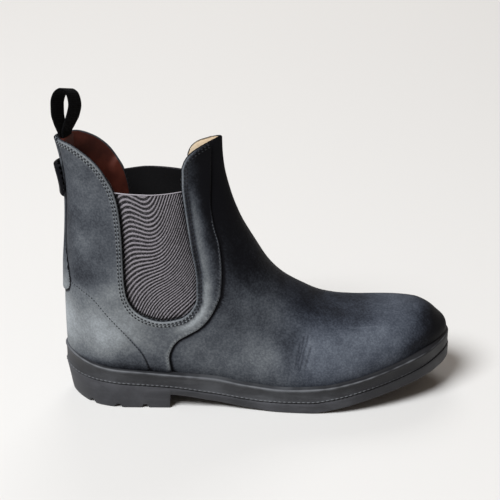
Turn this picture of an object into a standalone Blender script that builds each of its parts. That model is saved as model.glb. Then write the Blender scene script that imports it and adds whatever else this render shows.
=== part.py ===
"""Right jodhpur boot: a hollow leather upper with elastic side gores on a moulded rubber sole.

Sizes are millimetres until a mesh is written, in metres. X runs from heel to toe, -Y is the outer side of
the foot, +Y its inner side, and Z is up from the floor. The upper is one function of the side view: at each
(x, z) it gives how far the leather stands from the centre line. Every leather piece is a layer of it.
"""
import math

import bpy
import numpy as np

MM = 0.001
GAP = 0.3                      # clearance between two pieces

# Driving sizes of the last
TOE_X = 271.0                  # foremost point of the upper
TOE_Y = 13.0                   # the toe swings towards the inner side
OUTER_BALL_X = 185.0           # the toe's curve starts here on either side
INNER_BALL_X = 200.0
OUTER_TOE_POWER = 1.75         # fuller toe curve for a larger power
INNER_TOE_POWER = 2.3
DOME_POWER = 2.5               # section of the vamp
TUCK = 1.5                     # the upper draws in at the featherline
TUCK_HEIGHT = 12.0
TUCK_FADE = 20.0               # and less so where it is narrower than this
SHAFT_RISE = (4.0, 50.0)       # above the seat, the foot's width turns into the shaft's
SHAFT_END = (112.0, 190.0)     # along the foot, the shaft's width fades out
VAMP_START = (115.0, 178.0)    # along the foot, the vamp's dome takes over from the shin
SHELL_TOP = 195.0              # height the uncut shell reaches

# Thicknesses
WALL = 1.8
OVERLAY = 1.1
ELASTIC = 1.4
TAB_THICK = 2.0
INSOLE_THICK = 2.6
TAPE_THICK = 1.5

# Sole
WELT = 4.6                     # midsole stands out past the featherline on the flanks
WELT_ENDS = 2.9                # and at heel and toe
WELT_HEEL = (0.0, 25.0)        # along the foot, the heel's width turns into the flank's
WELT_TOE = (245.0, 271.0)      # and the flank's into the toe's
WELT_LIP = 0.8
SOLE_STEP = 0.4                # outsole is set in from the midsole
HEEL_BREAST_X = 75.0
BREAST_STEP = 0.8              # the breast leans by this much
BREAST_CLEAR = 4.0
DRAFT = 0.5                    # outsole's wall draws in towards the floor
HEEL_DRAFT = 3.4               # and more so behind the heel
HEEL_BACK = (5.0, 30.0)
EDGE_ROUND = 0.9
TREAD_NOTCHES_X = (22.0, 40.0, 58.0)
NOTCH_WIDTH = 3.6
NOTCH_TAPER = 0.8
NOTCH_DEPTH = 1.8

# Openings and panels
GORE_TOP = 155.5
GORE_LAP = 6.0                 # elastic runs on behind the leather
GORE_REAR = 30.0               # the opening's edge behind this is the collar's
INNER_SKEW = 2.5               # the inner opening sits further forward
SKEW_START, SKEW_END = (0.0, 25.0), (98.0, 112.0)
TAB_LOW, TAB_HIGH, TAB_HALF = 148.0, 170.0, 8.5

# Pull loop
TAPE_WIDTH = 12.5
TAPE_TURN = math.radians(34)   # the loop is turned about the upright
TAPE_LEAN = 0.25               # and its outer edge stands higher

# Mesh density
SIDE_STEPS = 28                # from centre back to centre front
ROW_STEPS = 18                 # from featherline to collar
FRONT_PACE = 1.2               # rows are closer over the toe
SEAT_FOLLOW = 2.5              # lower rows follow the seat, by this power
SHARP_LEVELS = (0.55, 0.8)     # rows whose front narrows to an edge have even steps there
REFINE = 4                     # finer grid on which the normals are measured
REACH = 90.0                   # cutters reach past the boot by this much
MIDDLE = 1.5                   # half width of the middle, between the outer and inner sides
ORIGIN = (136.62, 4.19)         # middle of the boot's box, moved to the origin


def table(names, *rows):
    """Hand-set rows as named columns."""
    return dict(zip(names.split(), np.array(rows, float).T))


# Along the foot: height of the midsole's top, centre line, and featherline on either side.
FOOT = table("x seat spine outer inner",
             (0, 33.0, 0, 31.3, 31.3),
             (15, 30.8, 0, 31.3, 31.3),
             (40, 29.1, 0, 31.8, 31.3),
             (75, 26.0, 0, 32.3, 30.0),
             (105, 23.3, 1, 32.6, 28.5),
             (130, 19.4, 3, 35.5, 33.0),
             (155, 17.9, 5, 39.5, 42.5),
             (180, 19.4, 7, 41.0, 48.0),
             (200, 23.0, 9, 41.0, 49.5),
             (225, 29.0, 11, 41.0, 49.5),
             (250, 35.5, 12, 41.0, 49.5),
             (276, 42.0, 13, 41.0, 49.5))

# The sole's side: top of the outsole and its underside, without the heel block.
SOLE = table("x parting under",
             (0, 22.8, 8.0),
             (15, 20.2, 8.0),
             (40, 18.6, 8.0),
             (75, 16.2, 8.0),
             (105, 11.8, 3.6),
             (130, 8.6, 0.4),
             (140, 7.8, 0.0),
             (172, 8.2, 0.0),
             (190, 11.2, 3.0),
             (210, 16.0, 7.8),
             (233, 21.5, 12.8),
             (255, 26.5, 17.4),
             (276, 31.0, 20.8))

# Up the heel and shaft: back profile, half width, and how deep and how full the back and front are rounded.
SHAFT = table("z back half back_round back_power front_round front_power",
              (25, 3.2, 31.0, 42, 1.80, 40, 2.00),
              (45, 2.6, 32.5, 42, 1.80, 40, 2.00),
              (65, 2.8, 32.5, 42, 1.85, 40, 2.00),
              (90, 3.9, 32.0, 43, 1.90, 40, 2.00),
              (118, 5.4, 30.0, 46, 2.00, 44, 1.95),
              (145, 6.8, 28.0, 52, 2.00, 52, 1.70),
              (158, 6.6, 27.3, 54, 2.00, 57, 1.50),
              (172, 5.4, 27.0, 52, 2.00, 60, 1.35),
              (195, 0.6, 27.0, 48, 2.00, 62, 1.30))

# Front of the boot in the side view, from toe to collar.
FRONT = table("x z",
              (271.0, 41.0), (270.0, 46.0), (266.0, 51.5), (259.5, 57.3), (249.0, 61.6), (233.0, 62.8),
              (213.0, 63.1), (197.0, 64.4), (183.0, 67.8), (168.0, 75.5), (155.0, 84.0), (145.0, 94.5),
              (135.5, 110.0), (125.7, 128.0), (117.7, 149.5), (113.5, 168.5), (112.6, 180.0), (112.4, 195.0))

# Edge of the leather in the side view: back collar, round the gore, front collar.
COLLAR = table("x z",
               (-8, 188.0), (0, 188.0), (11, 186.8), (21, 182.0), (31, 173.5), (37, 164.5), (41.3, 155.5),
               (44.3, 141), (45.6, 120), (46, 98), (47, 86), (51, 76), (59, 69), (71, 65.5), (83, 67.5),
               (91, 73.5), (95, 83), (95, 94), (91, 122), (87.5, 146), (86, 160), (86, 168.5), (87.6, 174),
               (91.5, 179), (98, 182.8), (106, 185.8), (113, 187.5), (122, 188.0))

# Front edge of the quarter, from the featherline up to the collar.
VAMP_SEAM = table("x z",
                  (78, 15), (76.5, 29), (75.5, 38), (77.5, 45.5), (82, 51.5), (88.5, 55.5), (96, 60),
                  (102, 66), (107.7, 76), (111.2, 86), (112, 101), (110.4, 118), (106.8, 131),
                  (104.4, 147), (104.6, 158), (105, 200))

# Upper edge of the counter, from the back to the featherline.
COUNTER_SEAM = table("x z",
                     (-12, 91), (7, 89), (23, 82.5), (36, 68.5), (49, 53), (59, 38), (62, 27), (63, 15))

# Half width of the back strip at each height.
BACK_STRIP = table("z half",
                   (75.0, 3.0), (75.8, 7.0), (78.5, 11.5), (83, 14.8), (88, 16.0), (93, 15.0), (104, 11.0),
                   (120, 8.0), (195, 7.5))

# Pull loop in the side view: middle line of the tape, and how much of the turn it has there.
TAPE = table("x z turn",
             (10.3, 174.0, 0), (9.1, 181.0, 0), (7.5, 189.5, 0), (5.4, 196.5, 0.5), (4.0, 203.0, 0.9),
             (4.0, 210.0, 1), (6.4, 216.6, 1), (10.2, 218.6, 1), (13.8, 216.0, 1), (15.0, 209.5, 1),
             (14.0, 202.0, 0.9), (11.8, 195.5, 0.5), (10.2, 189.5, 0), (11.0, 181.0, 0), (12.2, 174.0, 0))

LEATHER = (0.045, 0.050, 0.058)
RUBBER = (0.040, 0.042, 0.046)
GORE_COLOUR = (0.095, 0.088, 0.105)
LINING = (0.23, 0.14, 0.09)
TAPE_COLOUR = (0.012, 0.012, 0.014)


def monotone(x, y, at):
    """Monotone cubic through (x, y), with no overshoot between the points."""
    step = np.diff(x)
    slope = np.diff(y) / step
    tangent = np.concatenate(([slope[0]], np.zeros(len(x) - 2), [slope[-1]]))
    before, after = 2 * step[1:] + step[:-1], step[1:] + 2 * step[:-1]
    same = slope[1:] * slope[:-1] > 0
    safe_low, safe_high = np.where(same, slope[:-1], 1.0), np.where(same, slope[1:], 1.0)
    mean = (before + after) / (before / safe_low + after / safe_high)
    tangent[1:-1] = np.where(same, mean, 0.0)
    at = np.clip(at, x[0], x[-1])
    i = np.clip(np.searchsorted(x, at, side="right") - 1, 0, len(step) - 1)
    t = (at - x[i]) / step[i]
    return (y[i] * (1 + 2 * t) * (1 - t) ** 2 + y[i + 1] * t * t * (3 - 2 * t)
            + step[i] * t * (1 - t) * (tangent[i] * (1 - t) - tangent[i + 1] * t))


def read(tab, key, column, at):
    """A table's column, read smoothly at any value of its key column."""
    return monotone(tab[key], tab[column], np.asarray(at, float))


def smooth_line(tab, columns, count):
    """A smooth line through a table's rows, at even steps along it."""
    points = np.stack([tab[name] for name in columns], 1)
    along = np.concatenate(([0], np.cumsum(np.linalg.norm(np.diff(points[:, :2], axis=0), axis=1))))
    at = np.linspace(0, along[-1], count)
    return np.stack([monotone(along, column, at) for column in points.T], 1)


FRONT_LINE = smooth_line(FRONT, "xz", 400)


def ease(value, low, high):
    """0 below low, 1 above high, smooth between."""
    t = np.clip((value - low) / (high - low), 0, 1)
    return t * t * (3 - 2 * t)


def rounded(depth, power=2.0):
    """Quarter of an oval: 0 at the edge, 1 from depth 1 inwards."""
    return (1 - (1 - np.clip(depth, 0, 1)) ** power) ** (1 / power)


def outline(x, side):
    """Featherline's distance from Y 0 on the outer (-1) or inner (+1) side, signed."""
    start, power, name = ((OUTER_BALL_X, OUTER_TOE_POWER, "outer") if side < 0
                          else (INNER_BALL_X, INNER_TOE_POWER, "inner"))
    flank = side * read(FOOT, "x", name, x)
    toe = rounded((TOE_X - x) / (TOE_X - start), power)
    return TOE_Y * (1 - toe) + flank * toe


def side_y(x, z, side):
    """Y of the upper's outer face at a place of the side view."""
    seat, spine = read(FOOT, "x", "seat", x), read(FOOT, "x", "spine", x)
    foot = side * (outline(x, side) - spine)
    rise = z - seat
    to_shaft = ease(rise, *SHAFT_RISE) * (1 - ease(x, *SHAFT_END))
    width = foot + (read(SHAFT, "z", "half", z) - foot) * to_shaft
    tucked = width - TUCK * np.clip(1 - rise / TUCK_HEIGHT, 0, 1) ** 2 * np.clip(width / TUCK_FADE, 0, 1)
    heel = rounded((x - read(SHAFT, "z", "back", z)) / read(SHAFT, "z", "back_round", z),
                   read(SHAFT, "z", "back_power", z))
    ridge = np.interp(x, FRONT_LINE[::-1, 0], FRONT_LINE[::-1, 1])
    front = np.interp(z, FRONT_LINE[:, 1], FRONT_LINE[:, 0])
    height = np.clip(rise / np.maximum(ridge - seat, 0.1), 0, 1)
    dome = (1 - height ** DOME_POWER) ** 0.5
    shin = rounded((front - x) / read(SHAFT, "z", "front_round", z), read(SHAFT, "z", "front_power", z))
    on_vamp = ease(x, *VAMP_START)
    return spine + side * tucked * heel * dome ** on_vamp * shin ** (1 - on_vamp)


def ring_steps(steps, sharp):
    """Places from back to front, closer at both ends, out along one side and home along the other.

    At sharp 1 the front end has even steps.
    """
    even = np.linspace(0, 1, steps + 1)
    place = (1 - np.cos(even * math.pi)) / 2
    place += (even - place) * ease(even, 0.5, 1) * sharp
    return (np.concatenate((place, place[-2:0:-1])),
            np.concatenate((-np.ones(steps + 1), np.ones(steps - 1))))


def last_grid(steps, rows):
    """Points of the upper's outer face: rows from featherline to collar, each a ring round the foot."""
    grid = []
    for level in np.linspace(0, 1, rows + 1):
        place, side = ring_steps(steps, ease(level, *SHARP_LEVELS))
        back_z = FOOT["seat"][0] + GAP + (SHELL_TOP - FOOT["seat"][0] - GAP) * level
        at = level ** FRONT_PACE * (len(FRONT_LINE) - 1)
        front = [np.interp(at, np.arange(len(FRONT_LINE)), column) for column in FRONT_LINE.T]
        back_x = float(read(SHAFT, "z", "back", back_z))
        x = back_x + (front[0] - back_x) * place
        straight = back_z + (front[1] - back_z) * place
        seat = read(FOOT, "x", "seat", x)
        follow = seat + (back_z - seat[0]) * (1 - place) + (front[1] - seat[steps]) * place
        z = straight + (follow - straight) * (1 - level) ** SEAT_FOLLOW
        if level == 0:
            z = seat + GAP
        y = np.where(side < 0, side_y(x, z, -1), side_y(x, z, 1))
        y[[0, steps]] = read(FOOT, "x", "spine", x[[0, steps]])
        grid.append(np.stack([x, y, z], 1))
    return np.array(grid)


def outward(grid):
    """Unit normals of a grid of rings."""
    around = np.roll(grid, -1, axis=1) - np.roll(grid, 1, axis=1)
    up = np.gradient(grid, axis=0)
    normal = np.cross(around, up)
    return normal / np.linalg.norm(normal, axis=2, keepdims=True)


def last_layer():
    """The outer face and its normals, level at the featherline so that layers stay on the midsole."""
    fine = last_grid(SIDE_STEPS * REFINE, ROW_STEPS * REFINE)
    normal = outward(fine)[::REFINE, ::REFINE]
    normal[0, :, 2] = 0
    normal[0] /= np.linalg.norm(normal[0], axis=1, keepdims=True)
    return fine[::REFINE, ::REFINE], normal


FACE, NORMAL = last_layer()


def moved_out(ring, out):
    """A ring seen from above, moved outwards by a distance."""
    around = np.roll(ring, -1, axis=0) - np.roll(ring, 1, axis=0)
    across = np.stack([around[:, 1], -around[:, 0]], 1)
    across /= np.linalg.norm(across, axis=1, keepdims=True)
    return ring + across * np.reshape(out * np.ones(len(ring)), (-1, 1))


def welt_width(x):
    """How far the midsole stands out past the featherline."""
    return WELT_ENDS + (WELT - WELT_ENDS) * ease(x, *WELT_HEEL) * (1 - ease(x, *WELT_TOE))


def material(name, colour, roughness):
    """A plain material with the part's colour."""
    made = bpy.data.materials.new(name)
    made.use_nodes = True
    shader = made.node_tree.nodes["Principled BSDF"]
    shader.inputs["Base Color"].default_value = (*colour, 1)
    shader.inputs["Roughness"].default_value = roughness
    shader.inputs["Metallic"].default_value = 0
    return made


def add_object(name, points, faces, parent, finish=None):
    """A mesh object from points in millimetres; one with no finish is a cutter."""
    mesh = bpy.data.meshes.new(name)
    moved = (np.asarray(points) - (*ORIGIN, 0)) * MM
    mesh.from_pydata(moved.tolist(), [], faces)
    mesh.validate()
    piece = bpy.data.objects.new(name, mesh)
    bpy.context.collection.objects.link(piece)
    piece.parent = parent
    if finish:
        mesh.materials.append(finish)
        mesh.shade_smooth()
        mesh.set_sharp_from_angle(angle=math.radians(40))
    else:
        piece.hide_render = True
        piece.display_type = "WIRE"
    return piece


def loft(rings, closed):
    """Points and faces through rings of equal count: a closed tube of rings, or a stack with capped ends."""
    count, size = len(rings), len(rings[0])
    faces = []
    for k in range(count if closed else count - 1):
        low, high = k * size, (k + 1) % count * size
        for i in range(size):
            j = (i + 1) % size
            faces.append((low + i, low + j, high + j, high + i))
    if not closed:
        top = (count - 1) * size
        for i in range(size // 2):
            corners = [i, i + 1, size - i - 1, (size - i) % size]
            corners = list(dict.fromkeys(corners))
            faces.append([top + c for c in corners])
            faces.append(corners[::-1])
    return np.concatenate(rings), faces


def layer(name, outer, inner, parent, finish):
    """A closed shell between two distances from the upper's outer face."""
    rings = [row + normal * outer for row, normal in zip(FACE, NORMAL)]
    rings += [row + normal * inner for row, normal in zip(FACE[::-1], NORMAL[::-1])]
    points, faces = loft(rings, closed=True)
    return add_object(name, points, faces, parent, finish)


def prism(name, sections, axis, parent):
    """A cutter through sections: each a place, and a closed profile in the side (1) or back (0) view."""
    first = np.asarray(sections[0][1])
    area = np.sum(first[:, 0] * np.roll(first[:, 1], -1) - np.roll(first[:, 0], -1) * first[:, 1])
    order = -1 if (area > 0) == (axis == 1) else 1
    rings = [np.insert(np.asarray(profile)[::order], axis, at, axis=1) for at, profile in sections]
    size, last = len(first), len(rings) - 1
    faces = [list(range(size))[::-1], list(range(last * size, (last + 1) * size))]
    for k in range(last):
        for i in range(size):
            j = (i + 1) % size
            low = k * size
            faces.append((low + i, low + j, low + size + j, low + size + i))
    return add_object(name, np.concatenate(rings), faces, parent)


def through(profile):
    """A profile that runs right across the boot."""
    return [(-REACH, profile), (REACH, profile)]


def cut(piece, cutter, operation):
    """A Boolean of a piece with a cutter."""
    step = piece.modifiers.new(cutter.name, "BOOLEAN")
    step.operation = operation
    step.solver = "EXACT"
    step.object = cutter


def shifted(line, distance):
    """A side-view line moved to its left by a distance."""
    along = np.gradient(line, axis=0)
    along /= np.linalg.norm(along, axis=1, keepdims=True)
    return line + np.stack([-along[:, 1], along[:, 0]], 1) * distance


def collar_line(side):
    """The leather's edge on the outer (-1) or inner (+1) side, in the side view."""
    line = smooth_line(COLLAR, "xz", 52)
    if side > 0:
        line[:, 0] += INNER_SKEW * ease(line[:, 0], *SKEW_START) * (1 - ease(line[:, 0], *SKEW_END))
    return line


def collar_profile(side):
    """What the collar and the gore leave open in the side view."""
    line = collar_line(side)
    return np.concatenate((line, [(line[-1, 0], SHELL_TOP + REACH), (line[0, 0], SHELL_TOP + REACH)]))


def quarter_profile():
    """The quarter in the side view, behind the vamp seam and above the counter."""
    seam = smooth_line(VAMP_SEAM, "xz", 30)
    edge = shifted(smooth_line(COUNTER_SEAM, "xz", 20), GAP)
    return np.concatenate((edge, seam, [(-12, 200)]))


def counter_profile():
    """The counter in the side view, below its seam."""
    edge = smooth_line(COUNTER_SEAM, "xz", 20)
    return np.concatenate((edge, [(-12, 15)]))


def gore_profile(side):
    """The elastic in the side view: the opening with a lap all round, cut straight at its top."""
    wide = shifted(collar_line(side), -GORE_LAP)
    low = wide[(wide[:, 1] < GORE_TOP) & (wide[:, 0] > GORE_REAR)]
    return np.concatenate((low, [(low[-1, 0], GORE_TOP), (low[0, 0], GORE_TOP)]))


def strip_profile():
    """The back strip seen from behind."""
    z = np.concatenate((np.linspace(75, 93, 10), np.linspace(98, SHELL_TOP, 8)))
    half = read(BACK_STRIP, "z", "half", z)
    return np.concatenate((np.stack([-half, z], 1), np.stack([half, z], 1)[::-1]))


def sole_ring(out, height):
    """A ring of the sole: the featherline moved out, at a height that follows the foot."""
    flat = moved_out(FACE[0, :, :2], out)
    return np.column_stack((flat, height(flat[:, 0])))


def add_midsole(parent, finish):
    """Band between outsole and upper, with a rounded lip round its top."""
    def top(x):
        return read(FOOT, "x", "seat", x)

    def low(x):
        return read(SOLE, "x", "parting", x) + GAP

    welt = welt_width(FACE[0, :, 0])
    rings = [sole_ring(welt - WELT_LIP, low),
             sole_ring(welt, lambda x: low(x) + WELT_LIP),
             sole_ring(welt, lambda x: top(x) - 1.5 * WELT_LIP),
             sole_ring(welt - WELT_LIP, top)]
    points, faces = loft(rings, closed=False)
    return add_object("midsole", points, faces, parent, finish)


def breast_steps():
    """The featherline with two places at the heel breast, so that the heel ends in an upright step."""
    flat = FACE[0, :, :2]
    half = SIDE_STEPS + 1
    sides = []
    for line in (flat[:half], np.concatenate((flat[half - 1:], flat[:1]))[::-1]):
        keep = np.abs(line[:, 0] - HEEL_BREAST_X) > BREAST_CLEAR
        ends = (HEEL_BREAST_X, HEEL_BREAST_X + BREAST_STEP)
        added = [(x, np.interp(x, line[:, 0], line[:, 1])) for x in ends]
        line = np.concatenate((line[keep], added))
        sides.append(line[np.argsort(line[:, 0], kind="stable")])
    return np.concatenate((sides[0], sides[1][-2:0:-1]))


def add_outsole(parent, finish):
    """Moulded outsole: heel block with notches, breast, arch, flat forefoot and toe spring."""
    base = breast_steps()
    x = base[:, 0]
    under = np.where(x <= HEEL_BREAST_X, 0.0, read(SOLE, "x", "under", x))
    top = read(SOLE, "x", "parting", x)
    draft = HEEL_DRAFT + (DRAFT - HEEL_DRAFT) * ease(x, *HEEL_BACK)
    side = welt_width(x) - SOLE_STEP
    rings = []
    for out, z in ((side - draft - EDGE_ROUND, under), (side - draft, under + EDGE_ROUND), (side, top)):
        flat = moved_out(base, out)
        flat[:, 0] = np.where(np.abs(x - HEEL_BREAST_X) < 1, x, flat[:, 0])
        rings.append(np.column_stack((flat, z)))
    points, faces = loft(rings, closed=False)
    piece = add_object("outsole", points, faces, parent, finish)
    wide, narrow = NOTCH_WIDTH / 2, NOTCH_WIDTH / 2 * NOTCH_TAPER
    for number, at in enumerate(TREAD_NOTCHES_X, 1):
        profile = [(at - wide, -NOTCH_DEPTH), (at + wide, -NOTCH_DEPTH),
                   (at + narrow, NOTCH_DEPTH), (at - narrow, NOTCH_DEPTH)]
        cut(piece, prism(f"notch_cutter_{number}", through(profile), 1, parent), "DIFFERENCE")
    return piece


def add_insole(parent, finish):
    """Board on the midsole, inside the upper."""
    inset = -(WALL + 3 * GAP)
    rings = [sole_ring(inset, lambda x: read(FOOT, "x", "seat", x) + GAP),
             sole_ring(inset, lambda x: read(FOOT, "x", "seat", x) + GAP + INSOLE_THICK)]
    points, faces = loft(rings, closed=False)
    return add_object("insole", points, faces, parent, finish)


def add_pull_loop(parent, finish):
    """Woven tape, doubled into a loop inside the back of the collar."""
    line = smooth_line(TAPE, ("x", "z", "turn"), 30)
    along = np.gradient(line[:, :2], axis=0)
    along /= np.linalg.norm(along, axis=1, keepdims=True)
    turn = line[:, 2] * TAPE_TURN
    middle = np.column_stack((line[:, 0], np.zeros(len(line)), line[:, 1]))
    width = np.column_stack((np.sin(turn), np.cos(turn), -TAPE_LEAN * line[:, 2]))
    width *= TAPE_WIDTH / 2 / np.linalg.norm(width, axis=1, keepdims=True)
    thick = np.cross(np.column_stack((along[:, 0], np.zeros(len(line)), along[:, 1])), width)
    thick *= TAPE_THICK / 2 / np.linalg.norm(thick, axis=1, keepdims=True)
    rings = np.stack([middle - width - thick, middle + width - thick, middle + width + thick,
                      middle - width + thick], 1)
    points, faces = loft(list(rings), closed=False)
    return add_object("pull_loop", points, faces, parent, finish)


def build():
    """The whole boot, under one empty at the origin."""
    for old in list(bpy.data.objects):
        bpy.data.objects.remove(old)
    boot = bpy.data.objects.new("boot", None)
    bpy.context.collection.objects.link(boot)
    leather = material("leather", LEATHER, 0.6)
    rubber = material("rubber", RUBBER, 0.55)
    elastic = material("elastic", GORE_COLOUR, 0.8)
    board = material("insole_board", LINING, 0.7)
    tape = material("tape", TAPE_COLOUR, 0.8)

    outer, inner = collar_profile(-1), collar_profile(1)
    across = [(-REACH, outer), (-MIDDLE, outer), (MIDDLE, inner), (REACH, inner)]
    open_above = prism("collar_cutter", across, 1, boot)
    overlay_out = GAP + OVERLAY
    strip_in = overlay_out + GAP
    strip_out = strip_in + OVERLAY

    cut(layer("upper", 0, -WALL, boot, leather), open_above, "DIFFERENCE")
    quarter = layer("quarter", overlay_out, GAP, boot, leather)
    cut(quarter, open_above, "DIFFERENCE")
    cut(quarter, prism("quarter_cutter", through(quarter_profile()), 1, boot), "INTERSECT")
    counter = layer("counter", overlay_out, GAP, boot, leather)
    cut(counter, prism("counter_cutter", through(counter_profile()), 1, boot), "INTERSECT")

    strip = layer("back_strip", strip_out, strip_in, boot, leather)
    behind = (-REACH, REACH / 2)
    cut(strip, prism("strip_cutter", [(x, strip_profile()) for x in behind], 0, boot), "INTERSECT")
    cut(strip, open_above, "DIFFERENCE")
    tab = layer("back_tab", strip_out + GAP + TAB_THICK, strip_out + GAP, boot, leather)
    square = [(-TAB_HALF, TAB_LOW), (TAB_HALF, TAB_LOW), (TAB_HALF, TAB_HIGH), (-TAB_HALF, TAB_HIGH)]
    cut(tab, prism("tab_cutter", [(x, square) for x in behind], 0, boot), "INTERSECT")

    for side, name in ((-1, "gore_outer"), (1, "gore_inner")):
        gore = layer(name, -WALL - GAP, -WALL - GAP - ELASTIC, boot, elastic)
        ends = sorted((side * MIDDLE, side * REACH))
        cut(gore, prism(name + "_cutter", [(y, gore_profile(side)) for y in ends], 1, boot), "INTERSECT")

    add_midsole(boot, rubber)
    add_outsole(boot, rubber)
    add_insole(boot, board)
    add_pull_loop(boot, tape)


build()
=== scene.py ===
"""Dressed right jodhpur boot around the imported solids.

Shapes are worked out in millimetres in the boot's own frame (X heel to toe, -Y outer side, Z up from the
floor) and written in metres. The upper's outer face is a chart: u runs from the front ridge (-1) along the
outer side to the back (0) and along the inner side to the front (+1), v from the featherline (0) to above
the collar (1). Every leather piece is a region of that chart, lifted off the face by a height.
"""
import math

import bmesh
import bpy
import numpy as np
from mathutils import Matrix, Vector, kdtree
from mathutils.geometry import delaunay_2d_cdt


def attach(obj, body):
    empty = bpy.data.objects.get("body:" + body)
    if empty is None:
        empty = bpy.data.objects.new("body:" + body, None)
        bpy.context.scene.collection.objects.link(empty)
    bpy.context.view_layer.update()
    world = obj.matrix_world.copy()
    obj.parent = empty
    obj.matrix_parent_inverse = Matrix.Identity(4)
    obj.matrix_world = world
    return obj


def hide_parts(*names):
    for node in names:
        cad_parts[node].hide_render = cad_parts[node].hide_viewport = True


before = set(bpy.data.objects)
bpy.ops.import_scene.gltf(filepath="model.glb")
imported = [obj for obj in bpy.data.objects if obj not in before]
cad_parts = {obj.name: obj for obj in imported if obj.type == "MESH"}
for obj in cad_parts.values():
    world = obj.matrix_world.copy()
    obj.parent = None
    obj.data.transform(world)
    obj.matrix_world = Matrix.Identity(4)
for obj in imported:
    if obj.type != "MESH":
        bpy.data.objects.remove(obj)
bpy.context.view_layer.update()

MM = 0.001
GAP = 0.3
ORIGIN = (136.62, 4.19)

TOE_X = 271.0
TOE_Y = 13.0
OUTER_BALL_X = 185.0
INNER_BALL_X = 200.0
OUTER_TOE_POWER = 1.75
INNER_TOE_POWER = 2.3
DOME_POWER = 2.5
TUCK = 1.5
TUCK_HEIGHT = 12.0
TUCK_FADE = 20.0
SHAFT_RISE = (4.0, 50.0)
SHAFT_END = (112.0, 190.0)
VAMP_START = (115.0, 178.0)
SHELL_TOP = 195.0
FRONT_PACE = 1.2
SEAT_FOLLOW = 2.5
SHARP_LEVELS = (0.55, 0.8)

WALL = 1.8
LAPPED_WALL = 3.9              # leather, elastic's lap and lining together, round the gores
OVERLAY = 1.2
OVERLAY_BASE = 0.1             # height of a piece's underside over the upper's face
COUNTER_BASE, COUNTER_THICK = 1.0, 0.5
STRIP_BASE, TAB_BASE = 1.2, 2.6
WELT = 4.6
WELT_ENDS = 2.9
WELT_HEEL = (0.0, 25.0)
WELT_TOE = (245.0, 271.0)
HEEL_BREAST_X = 75.0
BREAST_STEP = 0.8
DRAFT = 0.5
HEEL_DRAFT = 3.4
HEEL_BACK = (5.0, 30.0)
SOLE_STEP = 0.4
TOE_FILL = 0.9
ARCH_RISE = 2.0
HEEL_CUP = 4.5
NOTCHES, NOTCH_DEPTH = (22.0, 40.0, 58.0), 2.4
INNER_SKEW = 2.5
SKEW_START, SKEW_END = (0.0, 25.0), (98.0, 112.0)
GORE_TOP = 155.5
STITCH = 2.7
DARK_STITCH = (STITCH, 1.7, 0.62, 0.12)    # pitch, length, radius and how deep it sinks in
HIGHLIGHT_STITCH = (STITCH, 1.2, 0.42, 0.0)
FINE_STITCH = (2.3, 1.6, 0.42, 0.1)
SEAM_STITCH = (2.3, 1.5, 0.30, 0.05)
DASH_PITCH, DASH_LENGTH, DASH_RADIUS = 3.3, 2.5, 0.42
TAPE_WIDTH = 12.5
TAPE_THICK = 1.5
TAPE_TURN = math.radians(34)
TAPE_LEAN = 0.25
SELVEDGE = 0.5
TAB_LOW, TAB_HIGH, TAB_HALF = 148.0, 170.0, (10.0, 7.5)
FLAP_LOW, FLAP_HIGH, FLAP_HALF = 167.0, 187.2, 9.5
GORE_LAP = 5.6
GORE_DEPTH = 2.75
GORE_BACK_DEPTH = 3.5
RIB_RISE = 0.42
LEATHER_TONE = 0.43
LENS = 90.0
CAMERA_AT = (-0.0056, -0.8032, 0.436)
LOOK_DOWN = math.radians(22.5)

COLUMNS, ROWS = 150, 110       # chart cells from back to front, and from featherline to top
EDGE_STEP = 1.1                # between points along an edge
EDGE_ROWS = (0.2, 0.5, 1.0)    # rows of points beside an edge
STRIP_ROWS = (0.4, 0.8, 1.2, 1.6, 2.2)
FREE_GAP = 0.55                # cells that free points keep from fixed ones
BACK_SPAN = 150.0              # first guess of the run from back to front
SETTLE_STEPS, SETTLE_REACH = 5, 0.05
HALVINGS = 40
TREAD_COLUMNS, FOOTBED_COLUMNS = 61, 41
HEM_COUNT = 160
BEAD = 6                       # rings of a stitch, and points of each ring


def table(names, *rows):
    """Listed rows as named columns."""
    return dict(zip(names.split(), np.array(rows, float).T))


FOOT = table("x seat spine outer inner",
             (0, 33.0, 0, 31.3, 31.3),
             (15, 30.8, 0, 31.3, 31.3),
             (40, 29.1, 0, 31.8, 31.3),
             (75, 26.0, 0, 32.3, 30.0),
             (105, 23.3, 1, 32.6, 28.5),
             (130, 19.4, 3, 35.5, 33.0),
             (155, 17.9, 5, 39.5, 42.5),
             (180, 19.4, 7, 41.0, 48.0),
             (200, 23.0, 9, 41.0, 49.5),
             (225, 29.0, 11, 41.0, 49.5),
             (250, 35.5, 12, 41.0, 49.5),
             (276, 42.0, 13, 41.0, 49.5))
SOLE = table("x parting under",
             (0, 22.8, 8.0),
             (15, 20.2, 8.0),
             (40, 18.6, 8.0),
             (75, 16.2, 8.0),
             (105, 11.8, 3.6),
             (130, 8.6, 0.4),
             (140, 7.8, 0.0),
             (172, 8.2, 0.0),
             (190, 11.2, 3.0),
             (210, 16.0, 7.8),
             (233, 21.5, 12.8),
             (255, 26.5, 17.4),
             (276, 31.0, 20.8))
SHAFT = table("z back half back_round back_power front_round front_power",
              (25, 3.2, 31.0, 42, 1.80, 40, 2.00),
              (45, 2.6, 32.5, 42, 1.80, 40, 2.00),
              (65, 2.8, 32.5, 42, 1.85, 40, 2.00),
              (90, 3.9, 32.0, 43, 1.90, 40, 2.00),
              (118, 5.4, 30.0, 46, 2.00, 44, 1.95),
              (145, 6.8, 28.0, 52, 2.00, 52, 1.70),
              (158, 6.6, 27.3, 54, 2.00, 57, 1.50),
              (172, 5.4, 27.0, 52, 2.00, 60, 1.35),
              (195, 0.6, 27.0, 48, 2.00, 62, 1.30))
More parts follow.
